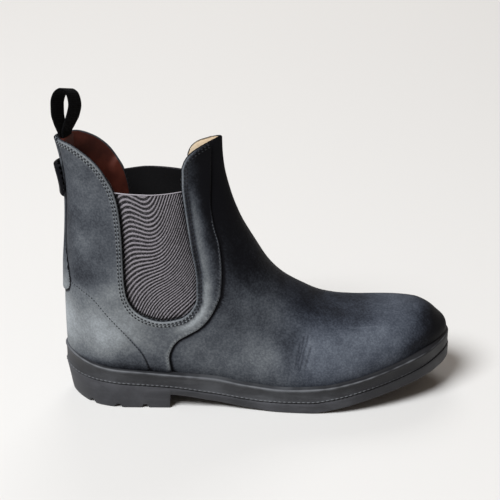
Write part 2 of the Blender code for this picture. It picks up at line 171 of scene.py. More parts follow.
FRONT = table("x z",
              (271.0, 41.0), (270.0, 46.0), (266.0, 51.5), (259.5, 57.3), (249.0, 61.6), (233.0, 62.8),
              (213.0, 63.1), (197.0, 64.4), (183.0, 67.8), (168.0, 75.5), (155.0, 84.0), (145.0, 94.5),
              (135.5, 110.0), (125.7, 128.0), (117.7, 149.5), (113.5, 168.5), (112.6, 180.0),
              (112.4, 195.0))
COLLAR = table("x z",
               (-8, 188.0), (0, 188.0), (11, 186.8), (21, 182.0), (31, 173.5), (37, 164.5), (41.3, 155.5),
               (44.3, 141), (45.6, 120), (46, 98), (47, 86), (51, 76), (59, 69), (71, 65.5), (83, 67.5),
               (91, 73.5), (95, 83), (95, 94), (91, 122), (87.5, 146), (86, 160), (86, 168.5), (87.6, 174),
               (91.5, 179), (98, 182.8), (106, 185.8), (113, 187.5), (122, 188.0))
VAMP_SEAM = table("x z",
                  (78, 15), (76.5, 29), (75.5, 38), (77.5, 45.5), (82, 51.5), (88.5, 55.5), (96, 60),
                  (102, 66), (107.7, 76), (111.2, 86), (112, 101), (110.4, 118), (106.8, 131),
                  (104.4, 147), (104.6, 158), (105, 200))
COUNTER_SEAM = table("x z",
                     (-12, 91), (7, 89), (23, 82.5), (36, 68.5), (49, 53), (59, 38), (62, 27), (63, 15))
BACK_STRIP = table("z half",
                   (78.5, 3.0), (79.2, 8.0), (81.2, 13.0), (84, 16.6), (87, 17.4), (91, 16.4), (100, 12.4),
                   (112, 8.4), (126, 7.0), (195, 7.0))
TAPE = table("x z turn",
             (8.8, 174.0, 0.3), (7.7, 181.0, 0.4), (6.5, 189.5, 0.6), (4.6, 196.5, 0.85), (3.6, 203.0, 1),
             (3.8, 210.0, 1), (6.2, 217.0, 1), (10.2, 219.4, 1), (14.0, 216.6, 1), (15.4, 209.5, 1),
             (13.8, 202.0, 1), (11.0, 195.5, 0.85), (8.9, 189.5, 0.6), (9.6, 181.0, 0.4),
             (10.8, 174.0, 0.3))


def monotone(x, y, at):
    """Monotone cubic through (x, y), with no overshoot between the points."""
    step = np.diff(x)
    slope = np.diff(y) / step
    tangent = np.concatenate(([slope[0]], np.zeros(len(x) - 2), [slope[-1]]))
    before, after = 2 * step[1:] + step[:-1], step[1:] + 2 * step[:-1]
    same = slope[1:] * slope[:-1] > 0
    safe_low, safe_high = np.where(same, slope[:-1], 1.0), np.where(same, slope[1:], 1.0)
    mean = (before + after) / (before / safe_low + after / safe_high)
    tangent[1:-1] = np.where(same, mean, 0.0)
    at = np.clip(at, x[0], x[-1])
    i = np.clip(np.searchsorted(x, at, side="right") - 1, 0, len(step) - 1)
    t = (at - x[i]) / step[i]
    return (y[i] * (1 + 2 * t) * (1 - t) ** 2 + y[i + 1] * t * t * (3 - 2 * t)
            + step[i] * t * (1 - t) * (tangent[i] * (1 - t) - tangent[i + 1] * t))


def read(tab, key, column, at):
    """A table's column, read smoothly at any value of its key column."""
    return monotone(tab[key], tab[column], np.asarray(at, float))


def length_along(points):
    """Distance from the first point to each point of a line."""
    return np.concatenate(([0], np.cumsum(np.linalg.norm(np.diff(points, axis=0), axis=1))))


def smooth_line(tab, columns, count):
    """A smooth line through a table's rows, at even steps along it."""
    points = np.stack([tab[name] for name in columns], 1)
    along = length_along(points[:, :2])
    at = np.linspace(0, along[-1], count)
    return np.stack([monotone(along, column, at) for column in points.T], 1)


FRONT_LINE = smooth_line(FRONT, "xz", 400)
FRONT_AT = np.linspace(0, 1, len(FRONT_LINE))
CHART_BASE = FOOT["seat"][0] + GAP


def seat_at(x):
    """Height of the featherline."""
    return read(FOOT, "x", "seat", x)


def back_at(z):
    """X of the upper's back line."""
    return read(SHAFT, "z", "back", z)


def front_at(z):
    """X of the front ridge."""
    return np.interp(z, FRONT_LINE[:, 1], FRONT_LINE[:, 0])


def ridge_at(x):
    """Height of the front ridge."""
    return np.interp(x, FRONT_LINE[::-1, 0], FRONT_LINE[::-1, 1])


def unit(vectors):
    """Vectors made one long."""
    return vectors / np.maximum(np.linalg.norm(vectors, axis=1, keepdims=True), 1e-9)


def directions(points):
    """Unit directions along a line of points."""
    return unit(np.gradient(points, axis=0))


def ease(value, low, high):
    """0 below low, 1 above high, smooth between."""
    t = np.clip((value - low) / (high - low), 0, 1)
    return t * t * (3 - 2 * t)


def bump(value, middle, width):
    """1 at the middle, falling off to 0."""
    return np.exp(-((value - middle) / width) ** 2)


def rounded(depth, power=2.0):
    """Quarter of an oval: 0 at the edge, 1 from depth 1 inwards."""
    return (1 - (1 - np.clip(depth, 0, 1)) ** power) ** (1 / power)


def outline(x, side):
    """Featherline's distance from Y 0 on the outer (-1) or inner (+1) side, signed."""
    start, power, name = ((OUTER_BALL_X, OUTER_TOE_POWER, "outer") if side < 0
                          else (INNER_BALL_X, INNER_TOE_POWER, "inner"))
    flank = side * read(FOOT, "x", name, x)
    toe = rounded((TOE_X - x) / (TOE_X - start), power)
    return TOE_Y * (1 - toe) + flank * toe


def side_y(x, z, side):
    """Y of the upper's outer face at a place of the side view."""
    seat, spine = seat_at(x), read(FOOT, "x", "spine", x)
    foot = side * (outline(x, side) - spine)
    rise = z - seat
    to_shaft = ease(rise, *SHAFT_RISE) * (1 - ease(x, *SHAFT_END))
    width = foot + (read(SHAFT, "z", "half", z) - foot) * to_shaft
    tucked = width - TUCK * np.clip(1 - rise / TUCK_HEIGHT, 0, 1) ** 2 * np.clip(width / TUCK_FADE, 0, 1)
    heel = rounded((x - back_at(z)) / read(SHAFT, "z", "back_round", z),
                   read(SHAFT, "z", "back_power", z))
    height = np.clip(rise / np.maximum(ridge_at(x) - seat, 0.1), 0, 1)
    dome = (1 - height ** DOME_POWER) ** 0.5
    shin = rounded((front_at(z) - x) / read(SHAFT, "z", "front_round", z),
                   read(SHAFT, "z", "front_power", z))
    on_vamp = ease(x, *VAMP_START)
    return spine + side * tucked * heel * dome ** on_vamp * shin ** (1 - on_vamp)


def row_ends(v):
    """Back and front of a row of the chart, in the side view."""
    back_z = CHART_BASE + (SHELL_TOP - CHART_BASE) * v
    at = v ** FRONT_PACE
    return (back_at(back_z), back_z,
            np.interp(at, FRONT_AT, FRONT_LINE[:, 0]), np.interp(at, FRONT_AT, FRONT_LINE[:, 1]))


def place(step, v):
    """Share of the way from back to front for an even step from 0 to 1."""
    share = (1 - np.cos(step * math.pi)) / 2
    return share + (step - share) * ease(step, 0.5, 1) * ease(v, *SHARP_LEVELS)


def row_height(share, v):
    """X and height of a row at a share of the way to the front."""
    back_x, back_z, front_x, front_z = row_ends(v)
    x = back_x + (front_x - back_x) * share
    straight = back_z + (front_z - back_z) * share
    follow = (seat_at(x) + (back_z - seat_at(back_x)) * (1 - share)
              + (front_z - seat_at(front_x)) * share)
    return x, straight + (follow - straight) * (1 - v) ** SEAT_FOLLOW


def surface(uv):
    """Points of the upper's outer face at places of the chart."""
    u, v = (uv[:, 0] + 1) % 2 - 1, np.clip(uv[:, 1], 0, 1)
    x, z = row_height(place(np.abs(u), v), v)
    y = np.where(u < 0, side_y(x, z, -1), side_y(x, z, 1))
    return np.stack([x, y, z], 1)


def slopes(uv):
    """The face's two directions at places of the chart."""
    step = 0.003
    along = (surface(uv + (step, 0)) - surface(uv - (step, 0))) / (2 * step)
    high, low = np.minimum(uv[:, 1] + step, 1), np.maximum(uv[:, 1] - step, 0)
    up = surface(np.stack([uv[:, 0], high], 1)) - surface(np.stack([uv[:, 0], low], 1))
    return along, up / (high - low)[:, None]


def normals(uv):
    """Unit normals that face out."""
    along, up = slopes(uv)
    across = np.cross(up, along)
    across[uv[:, 1] <= 0, 2] = 0
    return unit(across)


def lift(uv, height):
    """Points at a height over the face."""
    return surface(uv) + normals(uv) * np.reshape(height * np.ones(len(uv)), (-1, 1))


def halve(test, size):
    """Bisection: the value from 0 to 1 at which test turns true, for each of size places."""
    low, high = np.zeros(size), np.ones(size)
    for _ in range(HALVINGS):
        middle = (low + high) / 2
        above = test(middle)
        low, high = np.where(above, low, middle), np.where(above, middle, high)
    return (low + high) / 2


def locate(line, side):
    """Places of the chart for points of the side view."""
    x, z = line[:, 0], line[:, 1]

    def share(v):
        back_x, _, front_x, _ = row_ends(v)
        return np.clip((x - back_x) / (front_x - back_x), 0, 1)

    v = halve(lambda v: row_height(share(v), v)[1] > z, len(x))
    step = halve(lambda step: place(step, v) > share(v), len(x))
    return np.stack([side * step, v], 1)


def settle(uv, target):
    """Places of the chart closest to points in space, from a first guess."""
    for _ in range(SETTLE_STEPS):
        along, up = slopes(uv)
        miss = target - surface(uv)
        a, b, c = (along * along).sum(1), (along * up).sum(1), (up * up).sum(1)
        f, g = (along * miss).sum(1), (up * miss).sum(1)
        det = np.maximum(a * c - b * b, 1e-9)
        step = np.stack([(c * f - b * g) / det, (a * g - b * f) / det], 1)
        uv = uv + np.clip(step, -SETTLE_REACH, SETTLE_REACH)
        uv[:, 1] = np.clip(uv[:, 1], 0, 1)
    return uv


def resample(uv, step):
    """A line of the chart at even steps in space."""
    along = length_along(surface(uv))
    at = np.linspace(0, along[-1], max(int(round(along[-1] / step)), 2) + 1)
    return np.stack([np.interp(at, along, column) for column in uv.T], 1)


def inset(uv, distance):
    """A line of the chart moved to its right on the face, by a distance."""
    points = surface(uv)
    return settle(uv, points + np.cross(directions(points), normals(uv)) * distance)


def insets(uv, distances, sign=1, trim=0):
    """A line of the chart at several distances, without a few points at each end."""
    return [inset(uv, sign * distance)[trim:len(uv) - trim] for distance in distances]


def within(line, margin):
    """Which points of the side view lie between the back and the front ridge."""
    x, z = line[:, 0], line[:, 1]
    return (x > back_at(z) + margin) & (x < front_at(z) - margin)


def collar_view(side, count):
    """The leather's edge in the side view, a little skewed on the inner side."""
    line = smooth_line(COLLAR, "xz", count)
    if side > 0:
        line[:, 0] += INNER_SKEW * ease(line[:, 0], *SKEW_START) * (1 - ease(line[:, 0], *SKEW_END))
    return line


def collar_half(side):
    """The leather's edge on one side of the chart, from the back to the front ridge."""
    line = collar_view(side, 900)
    uv = locate(line[within(line, 0.3)], side)
    return np.concatenate(([(0, uv[0, 1])], uv, [(side, uv[-1, 1])]))


def seam(tab, side):
    """A seam of the side view as a line of the chart, within the upper."""
    line = smooth_line(tab, "xz", 500)
    above = line[:, 1] > seat_at(line[:, 0]) + GAP
    return locate(line[above & within(line, 0.2)], side)


HALVES = [collar_half(side) for side in (-1, 1)]
COLLAR_UV = resample(np.concatenate((HALVES[0][::-1], HALVES[1][1:])), EDGE_STEP)


def near_tree(points):
    """A tree to search for the nearest of some points."""
    tree = kdtree.KDTree(len(points))
    for i, point in enumerate(points.tolist()):
        tree.insert(point, i)
    tree.balance()
    return tree


class Edges:
    """Distance on the face to a set of lines."""

    def __init__(self, *lines):
        self.tree = near_tree(np.concatenate([surface(resample(line, 0.3)) for line in lines]))

    def distance(self, points):
        return np.array([self.tree.find(point)[2] for point in points.tolist()])


def inside(points, loop):
    """Which points lie in a closed loop, both in the plane."""
    result = np.zeros(len(points), bool)
    x, y = points[:, 0], points[:, 1]
    for (x0, y0), (x1, y1) in zip(loop, np.roll(loop, -1, axis=0)):
        if y0 != y1:
            crossing = (y0 > y) != (y1 > y)
            result ^= crossing & (x < (x1 - x0) * (y - y0) / (y1 - y0) + x0)
    return result


def fill(loop, rows=(), cell=1.0):
    """Triangles over a closed loop of the chart, with rows of points that they pass through."""
    scale = np.array([COLUMNS, ROWS]) / cell
    border = loop * scale
    fixed = np.concatenate([border] + [row * scale for row in rows])
    tree = near_tree(np.column_stack((fixed, np.zeros(len(fixed)))))
    low, high = np.floor(border.min(0)), np.ceil(border.max(0))
    a, b = np.meshgrid(np.arange(low[0], high[0] + 1), np.arange(low[1], high[1] + 1))
    free = np.stack([(a + 0.5 * (b % 2)).ravel(), b.ravel()], 1)
    free = free[inside(free, border)]
    free = free[[tree.find((a, b, 0))[2] > FREE_GAP for a, b in free.tolist()]]
    points = np.concatenate((fixed, free))
    made = delaunay_2d_cdt([Vector(p) for p in points.tolist()], [], [list(range(len(border)))], 1, 1e-6)
    return np.array([tuple(p) for p in made[0]]) / scale, [tuple(f) for f in made[2]]


def make(name, points, faces, material_list, slots=None, smooth=60, weld=False, **attributes):
    """A mesh piece from points in millimetres, that rides on the boot."""
    mesh = bpy.data.meshes.new(name)
    mesh.from_pydata(((np.asarray(points) - (*ORIGIN, 0)) * MM).tolist(), [], [tuple(f) for f in faces])
    for key, values in attributes.items():
        mesh.attributes.new(key, "FLOAT", "POINT").data.foreach_set("value", np.asarray(values, np.float32))
    for item in material_list:
        mesh.materials.append(item)
    if slots is not None:
        mesh.polygons.foreach_set("material_index", np.asarray(slots, np.int32))
    if weld:
        work = bmesh.new()
        work.from_mesh(mesh)
        bmesh.ops.remove_doubles(work, verts=work.verts, dist=0.02 * MM)
        work.to_mesh(mesh)
        work.free()
    mesh.validate()
    mesh.shade_smooth()
    mesh.set_sharp_from_angle(angle=math.radians(smooth))
    piece = bpy.data.objects.new(name, mesh)
    bpy.context.collection.objects.link(piece)
    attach(piece, "root")
    return piece


def grid_faces(rows, columns, closed=False):
    """Quads of a grid of points, row after row; closed joins the last column to the first."""
    last = columns if closed else columns - 1
    row, column = np.meshgrid(np.arange(rows - 1), np.arange(last), indexing="ij")
    following = (column + 1) % columns
    quads = [row * columns + column, row * columns + following,
             (row + 1) * columns + following, (row + 1) * columns + column]
    return np.stack([q.ravel() for q in quads], 1).tolist()


def shifted(faces, start):
    """Faces with their points counted on from a start."""
    return [[i + start for i in face] for face in faces]


def flipped(faces):
    """Faces turned over."""
    return [face[::-1] for face in faces]


class Shader:
    """A material and short names for its nodes."""

    def __init__(self, name):
        self.material = bpy.data.materials.new(name)
        self.material.use_nodes = True
        self.tree = self.material.node_tree
        self.surface = self.tree.nodes["Principled BSDF"]
        self.where = self.add("ShaderNodeTexCoord").outputs["Object"]

    def add(self, kind, inputs=None, **settings):
        node = self.tree.nodes.new(kind)
        for key, value in settings.items():
            setattr(node, key, value)
        for key, value in (inputs or {}).items():
            self.feed(node.inputs[key], value)
        return node

    def feed(self, socket, value):
        if isinstance(value, bpy.types.NodeSocket):
            self.tree.links.new(value, socket)
        else:
            socket.default_value = value

    def set(self, **values):
        for key, value in values.items():
            self.feed(self.surface.inputs[key.replace("_", " ")], value)

    def math(self, operation, a, b=0.0, clamp=False):
        return self.add("ShaderNodeMath", {0: a, 1: b}, operation=operation, use_clamp=clamp).outputs[0]

    def attribute(self, name):
        return self.add("ShaderNodeAttribute", attribute_name=name).outputs["Fac"]

    def noise(self, scale, detail=3.0, rough=0.55, stretch=None):
        place = self.where
        if stretch:
            place = self.add("ShaderNodeMapping", {"Scale": stretch, "Vector": place}).outputs[0]
        inputs = {"Scale": scale, "Detail": detail, "Roughness": rough, "Vector": place}
        return self.add("ShaderNodeTexNoise", inputs).outputs["Fac"]

    def cells(self, scale):
        return self.add("ShaderNodeTexVoronoi", {"Scale": scale, "Vector": self.where}).outputs["Distance"]

    def span(self, value, low, high, to_low=0.0, to_high=1.0):
        inputs = dict(enumerate((value, low, high, to_low, to_high)))
        return self.add("ShaderNodeMapRange", inputs, interpolation_type="SMOOTHSTEP").outputs[0]

    def mix(self, share, first, second, blend="MIX"):
        node = self.add("ShaderNodeMix", {"Factor": share}, data_type="RGBA", blend_type=blend)
        for key, colour in (("A", first), ("B", second)):
            socket = [s for s in node.inputs if s.name == key and s.type == "RGBA"][0]
            self.feed(socket, (*colour, 1) if isinstance(colour, tuple) else colour)
        return [s for s in node.outputs if s.type == "RGBA"][0]

    def bump(self, height, strength, distance, below=None):
        inputs = {"Height": height, "Strength": strength, "Distance": distance}
        if below:
            inputs["Normal"] = below
        return self.add("ShaderNodeBump", inputs).outputs[0]


DARK, PALE, COOL = (0.0040, 0.0038, 0.0042), (0.300, 0.325, 0.345), (0.86, 0.95, 1.22)


def leather(name):
    """Oiled nubuck: cloudy, paler or darker where the piece says tone (wear, and painted light and shade),
    and fine grain.
    """
    s = Shader(name)
    cloud, scuff, fleck = s.noise(42.0, 3.5, 0.55), s.noise(130.0, 3.0, 0.6), s.noise(700.0, 4.0, 0.65)
    tone = s.attribute("tone")
    for layer, low, high, strength in ((cloud, 0.30, 0.70, 0.05), (scuff, 0.32, 0.68, 0.03),
                                       (fleck, 0.35, 0.68, 0.058)):
        tone = s.math("ADD", tone, s.span(layer, low, high, -strength, strength))
    tone = s.math("ADD", tone, 0.0, True)
    colour = s.mix(s.math("POWER", tone, 2.2), DARK, PALE)
    warm = s.math("SUBTRACT", s.math("MULTIPLY", tone, 1.4), s.attribute("chill"), True)
    colour = s.mix(1.0, colour, s.mix(warm, COOL, (1.0, 1.0, 1.0)), "MULTIPLY")
    s.set(Base_Color=colour, Roughness=s.span(cloud, 0.3, 0.7, 0.56, 0.68), Specular_IOR_Level=0.07,
          Sheen_Weight=0.01, Sheen_Roughness=0.5)
    grain = s.math("ADD", s.math("MULTIPLY", s.cells(1500.0), 0.6), s.noise(900.0, 4.0, 0.6))
    low = s.bump(s.noise(110.0, 3.0, 0.5), 0.10, 0.0006)
    s.set(Normal=s.bump(grain, 0.22, 0.00025, low))
    return s.material


def lining(name, dark, light):
    """Smooth lining leather, also on the footbed."""
    s = Shader(name)
    s.set(Base_Color=s.mix(s.span(s.noise(60.0, 5.0), 0.3, 0.7), dark, light), Roughness=0.62,
          Specular_IOR_Level=0.25)
    s.set(Normal=s.bump(s.math("ADD", s.cells(1300.0), s.noise(700.0)), 0.25, 0.0002))
    return s.material


def rubber(name, dark, light):
    """Moulded rubber with dust and faint scuffs."""
    s = Shader(name)
    cloud = s.noise(45.0, 5.0, 0.62)
    streak = s.noise(60.0, 4.0, 0.6, (0.5, 0.5, 3.0))
    tone = s.math("ADD", s.attribute("tone"), s.span(cloud, 0.3, 0.7, 0.1, 0.5))
    tone = s.math("ADD", tone, s.span(streak, 0.45, 0.7, 0.0, 0.2))
    s.set(Base_Color=s.mix(s.span(tone, 0.0, 1.4), dark, light),
          Roughness=s.span(cloud, 0.3, 0.7, 0.5, 0.66), Specular_IOR_Level=0.35)
    s.set(Normal=s.bump(s.noise(1400.0, 3.0), 0.18, 0.0002))
    return s.material


def elastic(name):
    """Ribbed elastic: pale ribs, dark gaps, a weave along each rib, and a painted shadow where the
    leather's edge overhangs it.
    """
    s = Shader(name)
    wave = s.math("COSINE", s.math("MULTIPLY", s.attribute("rib"), 2 * math.pi))
    speck = s.noise(950.0, 3.0, 0.7)
    tone = s.math("ADD", s.span(wave, -0.42, 0.95), s.span(speck, 0.3, 0.7, -0.36, 0.34))
    tone = s.math("SUBTRACT", tone, s.attribute("gap"), True)
    colour = s.mix(tone, (0.007, 0.006, 0.008), (0.238, 0.222, 0.244))
    s.set(Base_Color=s.mix(s.attribute("hem"), colour, (0.36, 0.34, 0.37)),
          Roughness=0.85, Sheen_Weight=0.2, Specular_IOR_Level=0.2)
    s.set(Normal=s.bump(speck, 0.35, 0.0003))
    return s.material


def webbing(name, dark, light):
    """Black woven tape, from the tape's own length and width."""
    s = Shader(name)
    along, across = s.attribute("along"), s.attribute("across")
    warp = s.math("SINE", s.math("MULTIPLY", across, 2 * math.pi))
    weft = s.math("SINE", s.math("ADD", s.math("MULTIPLY", along, 2 * math.pi / 1.3),
                                 s.math("MULTIPLY", warp, 1.2)))
    weave = s.math("ADD", s.math("MULTIPLY", weft, 0.6), s.math("MULTIPLY", warp, 0.4))
    s.set(Base_Color=s.mix(s.span(weave, -0.8, 0.9), dark, light), Roughness=0.85, Sheen_Weight=0.02,
          Specular_IOR_Level=0.05)
    s.set(Normal=s.bump(weave, 0.6, 0.0003))
    return s.material


def plain(name, colour, roughness, grain):
    """Thread and the elastic's back: one colour with a fine fleck."""
    s = Shader(name)
    fleck = s.noise(grain, 3.0)
    pale = tuple(min(1.0, 1.6 * c) for c in colour)
    s.set(Base_Color=s.mix(s.span(fleck, 0.35, 0.7), colour, pale),
          Roughness=roughness, Specular_IOR_Level=0.25)
    s.set(Normal=s.bump(fleck, 0.3, 0.0002))
    return s.material


LEATHER = leather("leather")
# One lining leather in two painted copies: the dark brown is painted shade where it lies in shadow, the
# cream is painted light where the light falls in.
SHADED_LINING = lining("lining_shaded", (0.055, 0.012, 0.008), (0.12, 0.028, 0.017))
LIT_LINING = lining("lining_lit", (0.58, 0.45, 0.30), (0.76, 0.62, 0.45))
MIDSOLE = rubber("midsole_rubber", (0.013, 0.0135, 0.016), (0.10, 0.105, 0.115))
OUTSOLE = rubber("outsole_rubber", (0.018, 0.0185, 0.022), (0.085, 0.087, 0.098))
ELASTIC = elastic("elastic")
ELASTIC_BACK = plain("elastic_back", (0.0035, 0.0033, 0.004), 0.9, 900.0)
TAPE_CLOTH = webbing("tape", (0.0008, 0.0008, 0.001), (0.004, 0.004, 0.0045))
THREAD = plain("thread", (0.008, 0.009, 0.011), 0.6, 2600.0)
THREAD_HIGHLIGHT = plain("thread_highlight", (0.15, 0.16, 0.17), 0.6, 2600.0)
SEAM_THREAD = plain("seam_thread", (0.055, 0.060, 0.066), 0.6, 2600.0)
BOARD = lining("footbed", (0.13, 0.060, 0.032), (0.22, 0.105, 0.058))

GORE_EDGES = Edges(*[half[surface(half)[:, 2] < GORE_TOP + 2] for half in HALVES])

# Patches of real wear and of painted light and shade: where they sit (x, z), how far they reach along and
# up (long, high), and how much paler they make the leather (tone, darker below 0).
WEAR_AND_LIGHT = table("x z long high tone",
             (28, 58, 32, 26, 0.42),
             (46, 36, 18, 8, -0.12),
             (2, 60, 10, 28, 0.31),
             (20, 122, 11, 11, 0.12),
             (20, 96, 10, 8, -0.16),
             (36, 88, 9, 7, 0.14),
             (50, 66, 10, 9, 0.10),
             (68, 54, 26, 16, 0.14),
             (20, 160, 16, 24, 0.08),
             (10, 138, 9, 30, -0.07),
             (40, 118, 6, 24, -0.06),
             (138, 40, 36, 18, 0.13),
             (157, 53, 9, 9, -0.11),
             (162, 44, 8, 13, -0.08),
             (198, 44, 34, 18, 0.13),
             (212, 58, 20, 8, 0.04),
             (232, 52, 16, 10, 0.06),
             (244, 63, 22, 6, 0.11),
             (266, 46, 19, 15, -0.42),
             (246, 40, 10, 6, -0.14))


def leather_tone(points):
    """How pale the leather is at points of the boot, from its wear and its handling, and from painted light
    and shade.
    """
    x, _, z = points.T
    rise = z - seat_at(x)
    height = np.clip(rise / np.maximum(ridge_at(x) - seat_at(x), 1.0), 0, 1)
    on_vamp = ease(x, 120, 150)
    gore = GORE_EDGES.distance(points)
    ahead = ease(x, 70, 96) * (1 - ease(z, 138, 165))
    # Painted highlight: a pale stripe of sheen along the strip ahead of each gore, brighter low down.
    stripe = ease(gore, 3.4, 5.6) * (1 - ease(gore, 5.8, 13.0)) * ahead
    stripe_highlight = (0.26 + 0.34 * (1 - ease(z, 64, 105))) * stripe
    rear_pale = 0.12 * bump(gore, 6.0, 5.0) * ease(z, 60, 80) * (1 - ahead) * (1 - ease(z, 100, 160))
    # Painted shade: the vamp's top, the shaft's front and the top of the strip ahead of the gore are turned
    # from the light. Beside the gore there is a painted shadow under its edge and painted shade near the
    # vamp seam. foot_dark makes the leather darker just above the sole round the heel.
    ridge_shade = 0.22 * ease(height, 0.70, 1.0) * on_vamp * (1 - 0.6 * ease(x, 200, 235))
    shin_shade = 0.40 * (1 - ease(front_at(z) - x, 8, 34)) * (1 - on_vamp) * ease(z, 60, 84)
    top_shade = 0.13 * ease(x, 88, 104) * ease(z, 120, 160)
    beside_shade = (0.14 * bump(gore, 17.0, 4.0) + 0.22 * bump(gore, 1.8, 1.8)) * ahead * ease(z, 70, 90)
    foot_dark = 0.2 * (1 - ease(rise, 1, 7)) * ease(x, 8, 25) * (1 - ease(x, 60, 85))
    tone = LEATHER_TONE + stripe_highlight + rear_pale
    tone = tone - ridge_shade - shin_shade - top_shade - beside_shade - foot_dark
    for at_x, at_z, long, high, amount in zip(*WEAR_AND_LIGHT.values()):
        tone += amount * bump(x, at_x, long) * bump(z, at_z, high)
    return tone


CREASES = {"rear": table("x z", (165.6, 50.0), (164.6, 45.0), (163.4, 40.5), (162.4, 33.0)),
           "middle": table("x z", (168.4, 54.0), (167.0, 48.0), (165.8, 43.0), (164.4, 38.0),
                           (163.8, 31.0)),
           "front": table("x z", (171.6, 56.0), (170.2, 50.0), (168.0, 44.0), (167.2, 39.0),
                          (165.0, 32.0)),
           "short": table("x z", (173.4, 48.0), (171.8, 43.5), (170.4, 38.0)),
           "low": table("x z", (170.4, 39.0), (169.2, 35.0), (168.8, 30.0))}
CREASE_DEPTH = 0.26
SCRATCH = table("x z", (200.5, 56.0), (209, 55.7), (218.5, 55.9))
CREASE_UV = [locate(smooth_line(tab, "xz", 30), side) for side in (-1, 1) for tab in CREASES.values()]
CREASE_EDGES = Edges(*CREASE_UV)
SCRATCH_UV = locate(smooth_line(SCRATCH, "xz", 30), -1)
SCRATCH_EDGES = Edges(SCRATCH_UV)
VAMP_EDGES = Edges(seam(VAMP_SEAM, -1), seam(VAMP_SEAM, 1))


def crease_taper(points):
    """The creases fade out above and below."""
    return ease(points[:, 2], 28, 36) * (1 - ease(points[:, 2], 49, 61))


def creases(points):
    """Height of the vamp's creases and of the groove along its seam, in millimetres."""
    fold, edge = CREASE_EDGES.distance(points), VAMP_EDGES.distance(points)
    depth = CREASE_DEPTH * crease_taper(points)
    return depth * (0.45 * bump(fold, 1.5, 0.8) - bump(fold, 0, 0.75)) - 0.55 * bump(edge, 0.6, 0.8)


def upper_tone(points):
    """The upper's leather, with painted shade in its creases and a painted highlight beside them, and a
    painted shadow along the vamp seam.
    """
    fold, edge = CREASE_EDGES.distance(points), VAMP_EDGES.distance(points)
    painted_light = 0.045 * bump(fold, 1.4, 0.8) - 0.055 * bump(fold, 0, 0.8)
    scratched = 0.11 * bump(SCRATCH_EDGES.distance(points), 0, 0.5)
    return leather_tone(points) + crease_taper(points) * painted_light + scratched - 0.6 * bump(edge, 0.4, 1.3)


def vamp_chill(points):
    """How blue the vamp's leather is, more towards the toe."""
    return 0.4 * ease(points[:, 0], 140, 180)


def toe_puff(points):
    """How far the leather swells over the sole's edge at the toe."""
    rise = points[:, 2] - seat_at(points[:, 0])
    return 1.5 * ease(points[:, 0], 248, 267) * bump(rise, 3.5, 6.0)


def add_upper():
    """The hollow upper: outer face, rolled edge and lining, as one shell."""
    rows = insets(COLLAR_UV, (0.15, 0.45, 1.0, 2.0), -1)
    for row in rows:
        row[0, 0], row[-1, 0] = -1, 1
    for line in CREASE_UV:
        rows += insets(line, (-1.8, -1.3, -0.8, -0.4, 0.0, 0.4, 0.8, 1.3, 1.8))
    rows += insets(SCRATCH_UV, (-1.0, -0.5, 0.0, 0.5, 1.0))
    for line, sign in ((outer_seam, 1), (inner_seam, -1)):
        rows += insets(line, (0.25, 0.6, 1.0, 1.6, 2.4, 3.4), sign, 3)
    rise = np.linspace(0, COLLAR_UV[-1, 1], ROWS + 1)[1:-1]
    run = np.linspace(1, -1, 2 * COLUMNS + 1)
    ridge = np.ones(len(rise))
    loop = np.concatenate((COLLAR_UV, np.column_stack((ridge, rise[::-1])),
                           np.column_stack((run, np.zeros(len(run)))), np.column_stack((-ridge, rise))))
    uv, faces = fill(loop, rows)
    face, out = surface(uv), normals(uv)
    edge = COLLAR_EDGES.distance(face)
    roll = 1 - rounded(edge)
    wall = WALL + (LAPPED_WALL - WALL) * (1 - ease(GORE_EDGES.distance(face), 7.0, 11.0))
    middle = -WALL / 2
    outer = face + out * (creases(face) + toe_puff(face) + middle * roll)[:, None]
    inner = face + out * (-wall + (wall + middle) * roll)[:, None]
    count = len(uv)
    sole = np.nonzero(uv[:, 1] <= 1e-6)[0]
    sole = sole[np.argsort(uv[sole, 0])]
    band = [(a, b, b + count, a + count) for a, b in zip(sole[:-1], sole[1:])]
    middle_x, _, middle_z = surface(np.array([uv[list(f)].mean(0) for f in faces])).T
    # The lining's upper front faces the light and takes the lit copy; the rest takes the shaded copy.
    lining_slot = np.where((middle_x > 70) & (middle_z > GORE_TOP - 6), 2, 1)
    lining_slot[np.array([edge[list(f)].max() for f in faces]) < 1.1] = 0
    slots = np.concatenate((np.zeros(len(faces)), lining_slot, np.zeros(len(band))))
    piece = make("upper_leather", np.concatenate((outer, inner)),
                 flipped(faces) + shifted(faces, count) + band, [LEATHER, SHADED_LINING, LIT_LINING], slots,
                 smooth=70, weld=True, tone=np.tile(upper_tone(face), 2),
                 chill=np.tile(vamp_chill(face), 2))
    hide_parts("upper")


def on_back(across, z):
    """Places of the chart at a distance across the back, at a height."""
    guess = np.stack([across / BACK_SPAN, (z - CHART_BASE) / (SHELL_TOP - CHART_BASE)], 1)
    return settle(guess, np.stack([back_at(z), across, z], 1))


def back_patch(z, half, count):
    """Outline of a patch on the back: left, right, bottom and top lines of the chart."""
    left, right = on_back(-half, z), on_back(half, z)
    share = np.linspace(0, 1, count)[1:-1, None]
    return left, right, left[0] + (right[0] - left[0]) * share, right[-1] + (left[-1] - right[-1]) * share


def strip_outline():
    """The back strip: wide and rounded at its foot."""
    z = np.concatenate((np.linspace(BACK_STRIP["z"][0], 96, 26), np.linspace(98, 187.3, 50)))
    return back_patch(z, read(BACK_STRIP, "z", "half", z), 9)


STRIP = strip_outline()
STRIP_EDGES = Edges(np.concatenate((STRIP[0][::-1], STRIP[2], STRIP[1])))
COUNTER_EDGES = Edges(seam(COUNTER_SEAM, -1), seam(COUNTER_SEAM, 1))
COLLAR_EDGES = Edges(COLLAR_UV)


